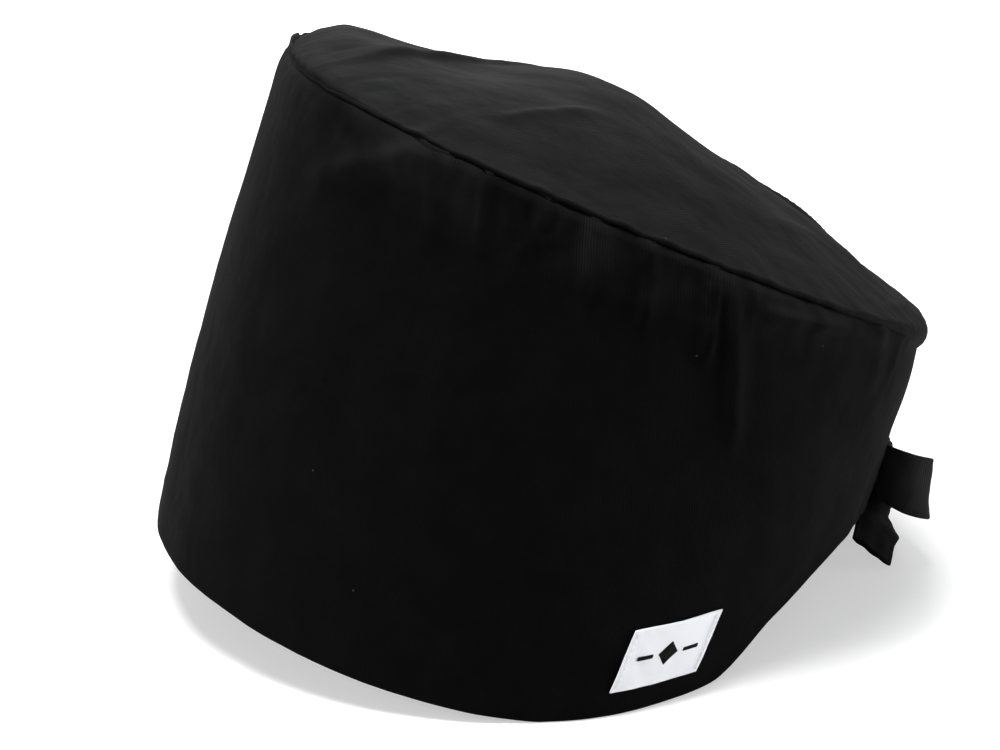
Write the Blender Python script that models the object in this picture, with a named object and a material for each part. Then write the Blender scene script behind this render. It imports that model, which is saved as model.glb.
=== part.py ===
"""Tie-back chef's cap: a tilted oval crown on a deep lined band, with a sweatband and ties in a bow.

Frame: the origin is the centre of the footprint, and the side hems stand on z = 0. The front faces -Y
and the wearer's left is +X.
Around the cap, an angle of 0 degrees is the front, 90 the wearer's left and 180 the back.
"""

import math

import bmesh
import bpy
from mathutils import Vector

# Driving dimensions, in metres
CROWN_HALF_LENGTH = 0.0846
CROWN_HALF_WIDTH = 0.0804
CROWN_SQUARENESS = 2.36
CROWN_CENTRE = Vector((0.0, 0.0175, 0.1007))
CROWN_TILT = math.radians(24.5)
CROWN_DOME = 0.0185

OPENING_HALF_LENGTH = 0.0874
OPENING_HALF_WIDTH = 0.0983
OPENING_CENTRE_Y = -0.0104
OPENING_SQUARENESS = 1.95
OPENING_BACK_PINCH = 0.24

FRONT_LIFT = 0.016  # the front hem arches up over the forehead
FRONT_LIFT_POWER = 1.28
BACK_DROP = 0.005  # the uncut wall would reach this far below the side hems
REST_HALF_ANGLE_COS = 0.1  # the hem is level where the angle's cosine is within this, ahead of the sides
BACK_RISE_START = 111.0  # degrees from the front; behind this the hem climbs to the nape
BACK_RISE_END = 150.7
BACK_WALL_SHARE = 0.69  # the nape keeps this share of the uncut wall
BACK_RISE_POWER = 0.63
WALL_BULGE = 0.0017

CLOTH = 0.001
THIN_CLOTH = 0.0006
CLEARANCE = 0.0004
HEM_HEIGHT = 0.010
HEM_THICKNESS = 0.002
SEAM_GAP = 0.0015  # from the crown's edge down to the band's top edge
SEAM_ALLOWANCE = 0.008
THREAD_RADIUS = 0.0003

SWEATBAND_ANGLE = 105.0
SWEATBAND_HEIGHT = 0.032
SWEATBAND_THICKNESS = 0.0014
INNER_ABOVE_HEM = 0.0015  # lining, sweatband and casing all end this far above the hem
STITCH_INSET = 0.002
STIFFENER_ANGLE = 112.5
STIFFENER_INSET = 0.002
CASING_START_ANGLE = 120.0
CASING_HEIGHT = 0.023
ELASTIC_START_ANGLE = 142.5
ELASTIC_ABOVE_HEM = 0.004
ELASTIC_WIDTH = 0.012
ELASTIC_THICKNESS = 0.0008

TIE_WIDTH = 0.0155
TIE_THICKNESS = 0.0014
PINCHED_WIDTH = 0.0070  # where a tie enters the knot
TIE_EXIT_ANGLE = 170.0
TIE_EXIT_ABOVE_HEM = 0.0095
TIE_EXIT_WIDTH = 0.012
BUTTONHOLE_WIDTH = 0.003
BUTTONHOLE_HEIGHT = 0.0135
KNOT_RADIUS = 0.0046
KNOT_HEIGHT = 0.012
KNOT_Z = 0.017

LABEL_START_ANGLE = 94.7
LABEL_END_ANGLE = 109.3
LABEL_ABOVE_HEM = 0.0058
LABEL_HEIGHT = 0.0146
LABEL_THICKNESS = 0.0004
LABEL_STITCH_INSET = 0.0010
LABEL_THREAD_RADIUS = 0.0002
CARE_LABEL_SIZE = (0.022, 0.0004, 0.014)
CARE_LABEL_INSIDE = 0.0034  # from the casing's face to the care label

COLUMNS = 48
STEP = 360.0 / COLUMNS

# Depths inward from the band's outer face, one cloth layer after another
FLANGE_DEPTH = CLOTH + CLEARANCE
FLANGE_THICKNESS = 0.0007
FLANGE_INNER_DEPTH = FLANGE_DEPTH + FLANGE_THICKNESS
STIFFENER_DEPTH = FLANGE_DEPTH + 0.0001
ELASTIC_DEPTH = HEM_THICKNESS + 0.0003
SEAM_THREAD_DEPTH = FLANGE_INNER_DEPTH + 2 * THREAD_RADIUS
LINING_DEPTH = SEAM_THREAD_DEPTH + THREAD_RADIUS + CLEARANCE
INNER_BAND_DEPTH = LINING_DEPTH + THIN_CLOTH + CLEARANCE
SWEATBAND_INNER_DEPTH = INNER_BAND_DEPTH + SWEATBAND_THICKNESS
CASING_THICKNESS = 0.0007
CASING_INNER_DEPTH = INNER_BAND_DEPTH + CASING_THICKNESS

BLACK_TWILL = ((0.010, 0.010, 0.011), 0.88)
CROWN_TWILL = ((0.017, 0.018, 0.020), 0.85)
TIE_TWILL = ((0.012, 0.012, 0.013), 0.85)
LINING_CLOTH = ((0.022, 0.022, 0.024), 0.70)
STIFFENER_CLOTH = ((0.60, 0.60, 0.58), 0.95)
SWEATBAND_CLOTH = ((0.020, 0.020, 0.022), 0.95)
ELASTIC_WEB = ((0.045, 0.045, 0.048), 0.75)
THREAD = ((0.030, 0.030, 0.032), 0.60)
LABEL_WHITE = ((0.82, 0.83, 0.85), 0.80)


def remove_everything():
    for old in list(bpy.data.objects):
        bpy.data.objects.remove(old, do_unlink=True)


def make_material(name, colour, roughness):
    material = bpy.data.materials.new(name)
    material.use_nodes = True
    shader = material.node_tree.nodes["Principled BSDF"]
    shader.inputs["Base Color"].default_value = (*colour, 1.0)
    shader.inputs["Roughness"].default_value = roughness
    shader.inputs["Metallic"].default_value = 0.0
    return material


def add_piece(name, rings, look, closed=False, origin=(0.0, 0.0, 0.0)):
    """A solid skinned over a row of rings, which are closed outlines with equal point counts."""
    origin = Vector(origin)
    shape = bmesh.new()
    loops = [[shape.verts.new(point - origin) for point in ring] for ring in rings]
    pairs = list(zip(loops, loops[1:]))
    if closed:
        pairs.append((loops[-1], loops[0]))
    else:
        shape.faces.new(loops[0])
        shape.faces.new(loops[-1])
    for first, second in pairs:
        for i in range(len(first)):
            j = (i + 1) % len(first)
            shape.faces.new((first[i], first[j], second[j], second[i]))
    bmesh.ops.recalc_face_normals(shape, faces=shape.faces)
    return add_object(name, shape, look, origin)


def add_object(name, shape, look, origin=(0.0, 0.0, 0.0)):
    mesh = bpy.data.meshes.new(name)
    shape.to_mesh(mesh)
    shape.free()
    mesh.shade_smooth()
    mesh.set_sharp_from_angle(angle=math.radians(40))
    mesh.materials.append(make_material(name, *look))
    piece = bpy.data.objects.new(name, mesh)
    piece.location = origin
    bpy.context.scene.collection.objects.link(piece)
    return piece


def signed_power(value, squareness):
    return math.copysign(abs(value) ** (2.0 / squareness), value)


def oval(angle, half_width, half_length, squareness):
    turn = math.radians(angle)
    x = half_width * signed_power(math.sin(turn), squareness)
    y = -half_length * signed_power(math.cos(turn), squareness)
    return x, y


def smooth_step(value):
    value = min(max(value, 0.0), 1.0)
    return value * value * (3.0 - 2.0 * value)


def crown_seam(angle):
    x, y = oval(angle, CROWN_HALF_WIDTH, CROWN_HALF_LENGTH, CROWN_SQUARENESS)
    return CROWN_CENTRE + Vector((x, y * math.cos(CROWN_TILT), -y * math.sin(CROWN_TILT)))


def crown_normal():
    return Vector((0.0, math.sin(CROWN_TILT), math.cos(CROWN_TILT)))


def uncut_opening(angle):
    """Where the wall would end if the nape were not cut higher than the sides."""
    x, y = oval(angle, OPENING_HALF_WIDTH, OPENING_HALF_LENGTH, OPENING_SQUARENESS)
    forward = math.cos(math.radians(angle))
    back = max(-forward, 0.0)
    x *= 1.0 - OPENING_BACK_PINCH * back * back
    lift = max((forward - REST_HALF_ANGLE_COS) / (1.0 - REST_HALF_ANGLE_COS), 0.0)
    rear_cos = -math.cos(math.radians(BACK_RISE_START))
    drop = max((back - rear_cos) / (1.0 - rear_cos), 0.0)
    z = FRONT_LIFT * lift**FRONT_LIFT_POWER - BACK_DROP * drop * drop
    return Vector((x, OPENING_CENTRE_Y + y, z))


def outward(angle):
    edge = uncut_opening(angle)
    return Vector((edge.x, edge.y - OPENING_CENTRE_Y, 0.0)).normalized()


def wall_share(angle):
    from_front = abs((angle + 180.0) % 360.0 - 180.0)
    rise = smooth_step((from_front - BACK_RISE_START) / (BACK_RISE_END - BACK_RISE_START))
    return 1.0 - (1.0 - BACK_WALL_SHARE) * rise**BACK_RISE_POWER


def wall_length(angle):
    return (uncut_opening(angle) - crown_seam(angle)).length * wall_share(angle)


def wall_point(angle, share, offset=0.0, depth=0.0):
    """A point on the wall: a share of the way from crown seam to hem, plus an offset downwards."""
    along = wall_share(angle) * (share + offset / wall_length(angle))
    point = crown_seam(angle).lerp(uncut_opening(angle), along)
    bulge = WALL_BULGE * math.sin(math.pi * along)
    return point + outward(angle) * (bulge - depth)


def angles_between(start, end):
    count = round((end - start) / STEP)
    return [start + (end - start) * i / count for i in range(count + 1)]


ALL_ROUND = [i * STEP for i in range(COLUMNS)]


def wall_layer(name, look, angles, rows, depth, thickness, closed=False):
    """A cloth layer on the wall. Each row is (share, offset) from the top edge to the bottom one."""
    rings = []
    for angle in angles:
        outer = [wall_point(angle, share, offset, depth) for share, offset in rows]
        inner = [wall_point(angle, share, offset, depth + thickness) for share, offset in reversed(rows)]
        rings.append(outer + inner)
    return add_piece(name, rings, look, closed)


def side_band():
    """The outer wall, with its lower edge folded up inside as a hem."""
    body_rows = [(0.0, SEAM_GAP), (0.0, 0.009), (0.25, 0.0), (0.45, 0.0), (0.65, 0.0)]
    fold = [(1.0, -HEM_HEIGHT - 0.0005), (1.0, -HEM_HEIGHT), (1.0, 0.0)]
    rings = []
    for angle in ALL_ROUND:
        outer = [wall_point(angle, *row) for row in body_rows + fold]
        hem = [wall_point(angle, *row, depth=HEM_THICKNESS) for row in reversed(fold[1:])]
        inner = [wall_point(angle, *row, depth=CLOTH) for row in reversed(body_rows + fold[:1])]
        rings.append(outer + hem + inner)
    band = add_piece("side_band", rings, BLACK_TWILL, closed=True)
    for side in (1, -1):
        cutter = buttonhole_cutter(side)
        cut = band.modifiers.new("Buttonhole", "BOOLEAN")
        cut.operation = "DIFFERENCE"
        cut.solver = "EXACT"
        cut.object = cutter
    return band


def tie_exit(side, depth=0.0):
    return wall_point(180.0 + side * (TIE_EXIT_ANGLE - 180.0), 1.0, -TIE_EXIT_ABOVE_HEM, depth)


def exit_frame(side):
    """Unit vectors at a buttonhole: across it along the wall, up the wall, and out of it."""
    angle = 180.0 + side * (TIE_EXIT_ANGLE - 180.0)
    out = outward(angle)
    up = (wall_point(angle, 1.0, -0.02) - wall_point(angle, 1.0)).normalized()
    across = up.cross(out).normalized()
    return across, up, across.cross(up)


def buttonhole_cutter(side):
    across, up, out = exit_frame(side)
    centre = tie_exit(side, CLOTH)
    half = (BUTTONHOLE_WIDTH / 2, BUTTONHOLE_HEIGHT / 2, 2 * HEM_THICKNESS)
    rings = []
    for end in (-half[2], half[2]):
        corners = ((-1, -1), (1, -1), (1, 1), (-1, 1))
        rings.append([centre + across * half[0] * i + up * half[1] * j + out * end for i, j in corners])
    cutter = add_piece("buttonhole_cutter_" + ("left" if side > 0 else "right"), rings, THREAD)
    cutter.hide_render = True
    cutter.display_type = "WIRE"
    return cutter


def crown_ring(radius, lowered=0.0):
    normal = crown_normal()
    rise = CROWN_DOME * (1.0 - radius * radius) - lowered
    return [CROWN_CENTRE + (crown_seam(a) - CROWN_CENTRE) * radius + normal * rise for a in ALL_ROUND]


def crown_panel():
    """The domed oval, with its seam allowance turned down inside the band."""
    radii = (0.15, 0.4, 0.62, 0.8, 0.93, 1.0)
    rings = [crown_ring(radius) for radius in radii]
    for depth, offset in (
        (FLANGE_DEPTH, 0.0012),
        (FLANGE_DEPTH, SEAM_ALLOWANCE),
        (FLANGE_INNER_DEPTH, SEAM_ALLOWANCE),
        (FLANGE_INNER_DEPTH, 0.0020),
    ):
        rings.append([wall_point(a, 0.0, offset, depth) for a in ALL_ROUND])
    rings += [crown_ring(radius, CLOTH) for radius in reversed(radii[:-1])]
    return add_piece("crown_panel", rings, CROWN_TWILL)


def crown_lining():
    radii = (0.15, 0.4, 0.62, 0.8, 0.93)
    lowered = CLOTH + CLEARANCE
    rings = [crown_ring(radius, lowered) for radius in radii]
    rings += [crown_ring(radius, lowered + THIN_CLOTH) for radius in reversed(radii)]
    return add_piece("crown_lining", rings, LINING_CLOTH)


def band_lining():
    rows = [(0.0, 2 * SEAM_GAP), (0.3, 0.0), (0.6, 0.0), (1.0, -INNER_ABOVE_HEM)]
    return wall_layer("band_lining", LINING_CLOTH, ALL_ROUND, rows, LINING_DEPTH, THIN_CLOTH, closed=True)


def band_stiffener():
    top = SEAM_ALLOWANCE + STIFFENER_INSET
    rows = [(0.0, top), (0.3, 0.0), (0.6, 0.0), (1.0, -HEM_HEIGHT - STIFFENER_INSET / 2)]
    angles = angles_between(-STIFFENER_ANGLE, STIFFENER_ANGLE)
    return wall_layer("band_stiffener", STIFFENER_CLOTH, angles, rows, STIFFENER_DEPTH, THIN_CLOTH)


def sweatband():
    rows = [(1.0, -SWEATBAND_HEIGHT), (1.0, -SWEATBAND_HEIGHT / 2), (1.0, -INNER_ABOVE_HEM)]
    angles = angles_between(-SWEATBAND_ANGLE, SWEATBAND_ANGLE)
    return wall_layer("sweatband", SWEATBAND_CLOTH, angles, rows, INNER_BAND_DEPTH, SWEATBAND_THICKNESS)


def back_casing():
    rows = [(1.0, -CASING_HEIGHT), (1.0, -CASING_HEIGHT / 2), (1.0, -INNER_ABOVE_HEM)]
    angles = angles_between(CASING_START_ANGLE, 360.0 - CASING_START_ANGLE)
    return wall_layer("back_casing", BLACK_TWILL, angles, rows, INNER_BAND_DEPTH, CASING_THICKNESS)


def back_elastic():
    top = -ELASTIC_ABOVE_HEM - ELASTIC_WIDTH
    rows = [(1.0, top), (1.0, top / 2), (1.0, -ELASTIC_ABOVE_HEM)]
    angles = angles_between(ELASTIC_START_ANGLE, 360.0 - ELASTIC_START_ANGLE)
    return wall_layer("back_elastic", ELASTIC_WEB, angles, rows, ELASTIC_DEPTH, ELASTIC_THICKNESS)


def thread(name, path, closed=False, radius=THREAD_RADIUS):
    """A run of stitching as one cord of square section along a path."""
    rings = []
    last = len(path) - 1
    for i, point in enumerate(path):
        before = path[i - 1] if closed or i > 0 else point
        after = path[(i + 1) % len(path)] if closed or i < last else point
        along = (after - before).normalized()
        side = along.cross(Vector((0.0, 0.0, 1.0)))
        if side.length < 0.1:
            side = along.cross(Vector((0.0, 1.0, 0.0)))
        side.normalize()
        up = side.cross(along)
        rings.append([point + side * radius, point + up * radius, point - side * radius, point - up * radius])
    return add_piece(name, rings, THREAD, closed)


def stitching():
    """The runs of thread that hold the layers together, each beside the layer it sews."""
    seam = [wall_point(a, 0.0, 0.005, SEAM_THREAD_DEPTH) for a in ALL_ROUND]
    thread("crown_seam_stitching", seam, closed=True)
    inner = SWEATBAND_INNER_DEPTH + 2 * THREAD_RADIUS
    angles = angles_between(-SWEATBAND_ANGLE, SWEATBAND_ANGLE)
    row = STITCH_INSET - SWEATBAND_HEIGHT
    thread("sweatband_stitching", [wall_point(angle, 1.0, row, inner) for angle in angles])
    inner = CASING_INNER_DEPTH + 2 * THREAD_RADIUS
    angles = angles_between(CASING_START_ANGLE, 360.0 - CASING_START_ANGLE)
    row = STITCH_INSET - CASING_HEIGHT
    thread("casing_stitching", [wall_point(angle, 1.0, row, inner) for angle in angles])
    rows = [(0.0, SEAM_ALLOWANCE + STIFFENER_INSET), (0.4, 0.0), (1.0, -2 * HEM_HEIGHT)]
    between = (CLOTH + LINING_DEPTH) / 2
    thread("back_seam_stitching", [wall_point(180.0, *row, depth=between) for row in rows])


def curve_through(points, steps):
    """Points along a Catmull-Rom curve through the given ones, each a (place, width line) pair."""
    ends = [points[0]] + list(points) + [points[-1]]
    curve = []
    for k in range(1, len(ends) - 2):
        for s in range(steps):
            t = s / steps
            weights = (
                -0.5 * t + t * t - 0.5 * t**3,
                1.0 - 2.5 * t * t + 1.5 * t**3,
                0.5 * t + 2.0 * t * t - 1.5 * t**3,
                0.5 * t**3 - 0.5 * t * t,
            )
            blend = [sum((ends[k - 1 + m][part] * weights[m] for m in range(4)), Vector()) for part in (0, 1)]
            curve.append(tuple(blend))
    curve.append(points[-1])
    return curve


def ribbon(name, points, origin=(0.0, 0.0, 0.0), steps=3, slant=0.0):
    """A flat strip. Each point is (centre, width line); slant moves the last end's edges along it."""
    curve = curve_through(points, steps)
    rings = []
    for i, (centre, width) in enumerate(curve):
        along = (curve[min(i + 1, len(curve) - 1)][0] - curve[max(i - 1, 0)][0]).normalized()
        across = (width - along * width.dot(along)).normalized()
        face = along.cross(across) * (TIE_THICKNESS / 2)
        edge = across * (width.length / 2)
        shift = along * (slant if i == len(curve) - 1 else 0.0)
        low = centre - edge + shift
        high = centre + edge - shift
        rings.append([low - face, high - face, high + face, low + face])
    return add_piece(name, rings, TIE_TWILL, origin=origin)


def knot_centre():
    """The knot stands just behind the band, clear of the ties that run in front of it."""
    wall = wall_point(180.0, 1.0, -TIE_EXIT_ABOVE_HEM).y
    return Vector((0.0, wall + TIE_THICKNESS + 2 * CLEARANCE + KNOT_RADIUS, KNOT_Z))


def tie(side):
    """A tie strip from its buttonhole to the front of the knot."""
    name = "tie_left" if side > 0 else "tie_right"
    up, out = exit_frame(side)[1:]
    start = tie_exit(side, CLOTH / 2)
    knot = knot_centre()
    front = knot.y - KNOT_RADIUS - TIE_THICKNESS / 2 - CLEARANCE
    points = [
        (start, up * TIE_EXIT_WIDTH),
        (start + out * 0.0026, up * TIE_EXIT_WIDTH),
        (Vector((side * 0.0118, front + 0.0002, start.z - 0.0018)), Vector((0, 0, 0.0110))),
        (Vector((side * 0.0075, front, knot.z + 0.0030)), Vector((0, 0, 0.0085))),
        (Vector((side * 0.0022, front, knot.z + 0.0010)), Vector((0, 0, PINCHED_WIDTH))),
    ]
    return ribbon(name, points)


def buttonhole_stitching(side):
    """The corded edge around a buttonhole, on the band's outer face."""
    across, up, out = exit_frame(side)
    centre = tie_exit(side) + out * 0.0008
    half = (BUTTONHOLE_WIDTH / 2 + 0.0010, BUTTONHOLE_HEIGHT / 2 + 0.0007)
    path = []
    for i, j in ((-1, -1), (1, -1), (1, 0), (1, 1), (-1, 1), (-1, 0)):
        path.append(centre + across * half[0] * i + up * half[1] * j)
    rings = []
    for point in path:
        from_centre = (point - centre).normalized()
        inside = point - from_centre * THREAD_RADIUS
        outside = point + from_centre * THREAD_RADIUS
        lift = out * THREAD_RADIUS
        rings.append([inside - lift, outside - lift, outside + lift, inside + lift])
    name = "buttonhole_stitching_left" if side > 0 else "buttonhole_stitching_right"
    return add_piece(name, rings, THREAD, closed=True)


def bow_knot():
    shape = bmesh.new()
    bmesh.ops.create_cone(
        shape,
        cap_ends=True,
        segments=20,
        radius1=KNOT_RADIUS,
        radius2=KNOT_RADIUS,
        depth=KNOT_HEIGHT,
    )
    rims = [edge for edge in shape.edges if abs(edge.verts[0].co.z - edge.verts[1].co.z) < CLEARANCE]
    bmesh.ops.bevel(shape, geom=rims, offset=0.0018, segments=2, affect="EDGES", profile=0.5)
    return add_object("bow_knot", shape, TIE_TWILL, knot_centre())


def bow_loop(side):
    """A teardrop loop of tie, whose two ends enter the side of the knot: out, back, up and width."""
    name = "bow_loop_left" if side > 0 else "bow_loop_right"
    knot = knot_centre()
    outline = [
        (0.0053, -0.0015, 0.0008, PINCHED_WIDTH),
        (0.0085, -0.0022, 0.0012, 0.0105),
        (0.0125, -0.0028, 0.0024, 0.0140),
        (0.0165, -0.0036, 0.0036, 0.0150),
        (0.0215, -0.0056, 0.0048, TIE_WIDTH),
        (0.0262, -0.0078, 0.0052, TIE_WIDTH),
        (0.0302, -0.0062, 0.0048, TIE_WIDTH),
        (0.0318, -0.0020, 0.0036, TIE_WIDTH),
        (0.0290, 0.0027, 0.0026, TIE_WIDTH),
        (0.0215, 0.0038, 0.0016, TIE_WIDTH),
        (0.0130, 0.0034, 0.0010, 0.0130),
        (0.0053, 0.0015, 0.0010, PINCHED_WIDTH),
    ]
    points = [(knot + Vector((side * x, y, z)), Vector((0, 0, width))) for x, y, z, width in outline]
    return ribbon(name, points, origin=knot)


def tail_pivot():
    knot = knot_centre()
    return Vector((0.0, knot.y, knot.z - KNOT_HEIGHT / 2 - CLEARANCE))


def tie_tail(side):
    """A tie's free end, hanging from under the knot and cut on the slant."""
    name = "tie_tail_left" if side > 0 else "tie_tail_right"
    pivot = tail_pivot()
    outline = [
        ((0.0040, 0.0000, -0.0006), (1.00, 0.00, 0.00), 0.0066),
        ((0.0066, -0.0006, -0.0026), (0.90, -0.30, 0.30), 0.0080),
        ((0.0122, -0.0036, -0.0030), (0.50, -0.70, 0.50), 0.0112),
        ((0.0205, -0.0082, -0.0027), (0.25, -0.85, 0.45), 0.0124),
        ((0.0285, -0.0122, -0.0054), (0.10, -0.90, 0.42), 0.0122),
    ]
    points = []
    for (x, y, z), (i, j, k), width in outline:
        points.append((pivot + Vector((side * x, y, z)), Vector((side * i, j, k)).normalized() * width))
    return ribbon(name, points, origin=pivot, slant=0.0006)


def side_label():
    """A small woven label sewn flat on the wearer's left, above the hem."""
    angles = [LABEL_START_ANGLE + (LABEL_END_ANGLE - LABEL_START_ANGLE) * i / 4 for i in range(5)]
    top = -LABEL_ABOVE_HEM - LABEL_HEIGHT
    rows = [(1.0, top), (1.0, top + LABEL_HEIGHT / 2), (1.0, -LABEL_ABOVE_HEM)]
    depth = -CLEARANCE - LABEL_THICKNESS
    return wall_layer("side_label", LABEL_WHITE, angles, rows, depth, LABEL_THICKNESS)


def label_stitching():
    """One line of thread around the label, set in from its edges."""
    width = (wall_point(LABEL_END_ANGLE, 1.0) - wall_point(LABEL_START_ANGLE, 1.0)).length
    inset_angle = (LABEL_END_ANGLE - LABEL_START_ANGLE) * LABEL_STITCH_INSET / width
    start = LABEL_START_ANGLE + inset_angle
    end = LABEL_END_ANGLE - inset_angle
    low = -LABEL_ABOVE_HEM - LABEL_STITCH_INSET
    high = LABEL_STITCH_INSET - LABEL_ABOVE_HEM - LABEL_HEIGHT
    depth = -CLEARANCE - LABEL_THICKNESS - LABEL_THREAD_RADIUS - 0.0003
    steps = 4
    path = []
    for i in range(steps):
        path.append((start + (end - start) * i / steps, low))
    for i in range(steps):
        path.append((end, low + (high - low) * i / steps))
    for i in range(steps):
        path.append((end + (start - end) * i / steps, high))
    for i in range(steps):
        path.append((start, high + (low - high) * i / steps))
    points = [wall_point(angle, 1.0, row, depth) for angle, row in path]
    thread("label_stitching", points, closed=True, radius=LABEL_THREAD_RADIUS)


def care_label():
    """A blank care label sewn inside the back by its top edge, on which it folds up."""
    width, thickness, height = CARE_LABEL_SIZE
    hinge = wall_point(180.0, 1.0, -CASING_HEIGHT - STITCH_INSET, CASING_INNER_DEPTH + CARE_LABEL_INSIDE)
    down = (wall_point(180.0, 1.0) - wall_point(180.0, 1.0, -0.02)).normalized()
    face = down.cross(Vector((1.0, 0.0, 0.0))).normalized()
    rings = []
    for x in (-width / 2, width / 2):
        side = Vector((x, 0.0, 0.0))
        ring = []
        for drop, offset in ((0.0, -0.5), (height, -0.5), (height, 0.5), (0.0, 0.5)):
            ring.append(hinge + side + down * drop + face * offset * thickness)
        rings.append(ring)
    return add_piece("care_label", rings, LABEL_WHITE, origin=hinge)


def build():
    remove_everything()
    side_band()
    crown_panel()
    crown_lining()
    band_lining()
    band_stiffener()
    sweatband()
    back_casing()
    back_elastic()
    stitching()
    for side in (1, -1):
        tie(side)
        buttonhole_stitching(side)
        bow_loop(side)
        tie_tail(side)
    bow_knot()
    side_label()
    label_stitching()
    care_label()


build()
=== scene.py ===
"""The finished look of the tie-back chef's cap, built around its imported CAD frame.

Frame: metres, with the side hems on z = 0, the front towards -Y and the wearer's left towards +X.
Angles around the cap are in degrees: 0 is the front, 90 the wearer's left and 180 the back.
"""

import math
import random

import bpy
import numpy as np
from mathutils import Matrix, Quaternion, Vector, noise


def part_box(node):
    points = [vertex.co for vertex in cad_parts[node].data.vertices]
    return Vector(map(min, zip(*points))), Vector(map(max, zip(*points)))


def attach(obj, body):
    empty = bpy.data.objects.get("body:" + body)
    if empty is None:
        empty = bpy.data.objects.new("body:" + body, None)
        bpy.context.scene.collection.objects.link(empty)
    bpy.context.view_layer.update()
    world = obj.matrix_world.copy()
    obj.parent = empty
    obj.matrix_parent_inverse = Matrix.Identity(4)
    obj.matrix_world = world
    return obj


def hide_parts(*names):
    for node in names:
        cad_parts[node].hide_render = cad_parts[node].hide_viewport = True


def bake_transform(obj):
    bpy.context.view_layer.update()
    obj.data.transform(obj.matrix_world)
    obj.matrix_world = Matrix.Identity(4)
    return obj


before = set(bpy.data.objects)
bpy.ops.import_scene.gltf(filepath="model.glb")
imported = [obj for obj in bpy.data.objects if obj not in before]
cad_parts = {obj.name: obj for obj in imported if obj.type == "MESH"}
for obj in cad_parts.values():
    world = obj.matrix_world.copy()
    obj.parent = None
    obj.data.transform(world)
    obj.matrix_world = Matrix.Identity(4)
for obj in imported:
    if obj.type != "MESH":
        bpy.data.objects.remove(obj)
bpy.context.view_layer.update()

# The surfaces of the CAD cap, in metres
CROWN_HALF_LENGTH = 0.0846
CROWN_HALF_WIDTH = 0.0804
CROWN_SQUARENESS = 2.36
LEFTWARD = np.array((1.0, 0.0, 0.0))
CROWN_CENTRE = np.array((0.0, 0.0175, 0.1007))
CROWN_TILT = math.radians(24.5)
CROWN_PLANE_Y = np.array((0.0, math.cos(CROWN_TILT), -math.sin(CROWN_TILT)))
CROWN_NORMAL = np.array((0.0, math.sin(CROWN_TILT), math.cos(CROWN_TILT)))

OPENING_HALF_LENGTH = 0.0874
OPENING_HALF_WIDTH = 0.0983
OPENING_CENTRE_Y = -0.0104
OPENING_SQUARENESS = 1.95
OPENING_BACK_PINCH = 0.24
FRONT_LIFT = 0.016
FRONT_LIFT_POWER = 1.28
BACK_DROP = 0.005
REST_HALF_ANGLE_COS = 0.1
BACK_RISE_START = 111.0
BACK_RISE_END = 150.7
BACK_WALL_SHARE = 0.69
BACK_RISE_POWER = 0.63
BACK_RISE_EASE = 12.0
WALL_BULGE = 0.0017
SEAM_REAR_SAG = 0.0020
SEAM_SAG_SPREAD = 34.0
BACK = 180.0

# Cloth layers, as depths inward from the band's plain outer face
BAND_CLOTH = 0.00085
HEM_DEPTH = 0.0020
HEM_HEIGHT = 0.010
FLANGE_CLOTH = 0.0006
SEAM_ALLOWANCE = 0.008
LINING_DEPTH = 0.0034
LINING_CLOTH = 0.0005
INNER_BAND_DEPTH = 0.0044
SWEATBAND_INNER_DEPTH = 0.0058
SWEATBAND_ANGLE = 105.0
SWEATBAND_HEIGHT = 0.032
CASING_INNER_DEPTH = 0.0051
CASING_START_ANGLE = 120.0
CASING_HEIGHT = 0.023

TIE_WIDTH = 0.0155
TIE_THICKNESS = 0.0014
TIE_EXIT_ANGLE = 170.0
TIE_EXIT_ABOVE_HEM = 0.0095
TIE_EXIT_WIDTH = 0.012
BUTTONHOLE_WIDTH = 0.003
BUTTONHOLE_HEIGHT = 0.0135

LABEL_START_ANGLE = 94.6
LABEL_END_ANGLE = 108.9
LABEL_ABOVE_HEM = 0.0063
LABEL_HEIGHT = 0.0142
LABEL_LEAN = 1.5

SIDE_NAMES = {1: "left", -1: "right"}
TINY = 0.00001


# --- surfaces


def signed_power(value, squareness):
    return np.sign(value) * np.abs(value) ** (2.0 / squareness)


def oval(angle, half_width, half_length, squareness):
    turn = np.radians(angle)
    x = half_width * signed_power(np.sin(turn), squareness)
    y = -half_length * signed_power(np.cos(turn), squareness)
    return x, y


def vectors(x, y, z):
    return np.stack(np.broadcast_arrays(x, y, z), axis=-1).astype(float)


def unit(vector):
    return vector / np.linalg.norm(vector, axis=-1, keepdims=True)


def smooth_step(value):
    value = np.clip(value, 0.0, 1.0)
    return value * value * (3.0 - 2.0 * value)


def bell(value):
    return np.exp(-value * value)


def turned(angle, other):
    """The signed turn from one angle to another, within 180 degrees either way."""
    return (angle - other + 180.0) % 360.0 - 180.0


def around(columns):
    """Evenly spread angles, once round from the back."""
    return BACK + np.arange(columns) * 360.0 / columns


def crown_spoke(angle):
    """From the crown's centre to its seam."""
    x, y = oval(angle, CROWN_HALF_WIDTH, CROWN_HALF_LENGTH, CROWN_SQUARENESS)
    return x[..., None] * LEFTWARD + y[..., None] * CROWN_PLANE_Y


def crown_seam(angle):
    sag = SEAM_REAR_SAG * bell(turned(angle, BACK) / SEAM_SAG_SPREAD)
    return CROWN_CENTRE + crown_spoke(angle) - sag[..., None] * CROWN_NORMAL


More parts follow.
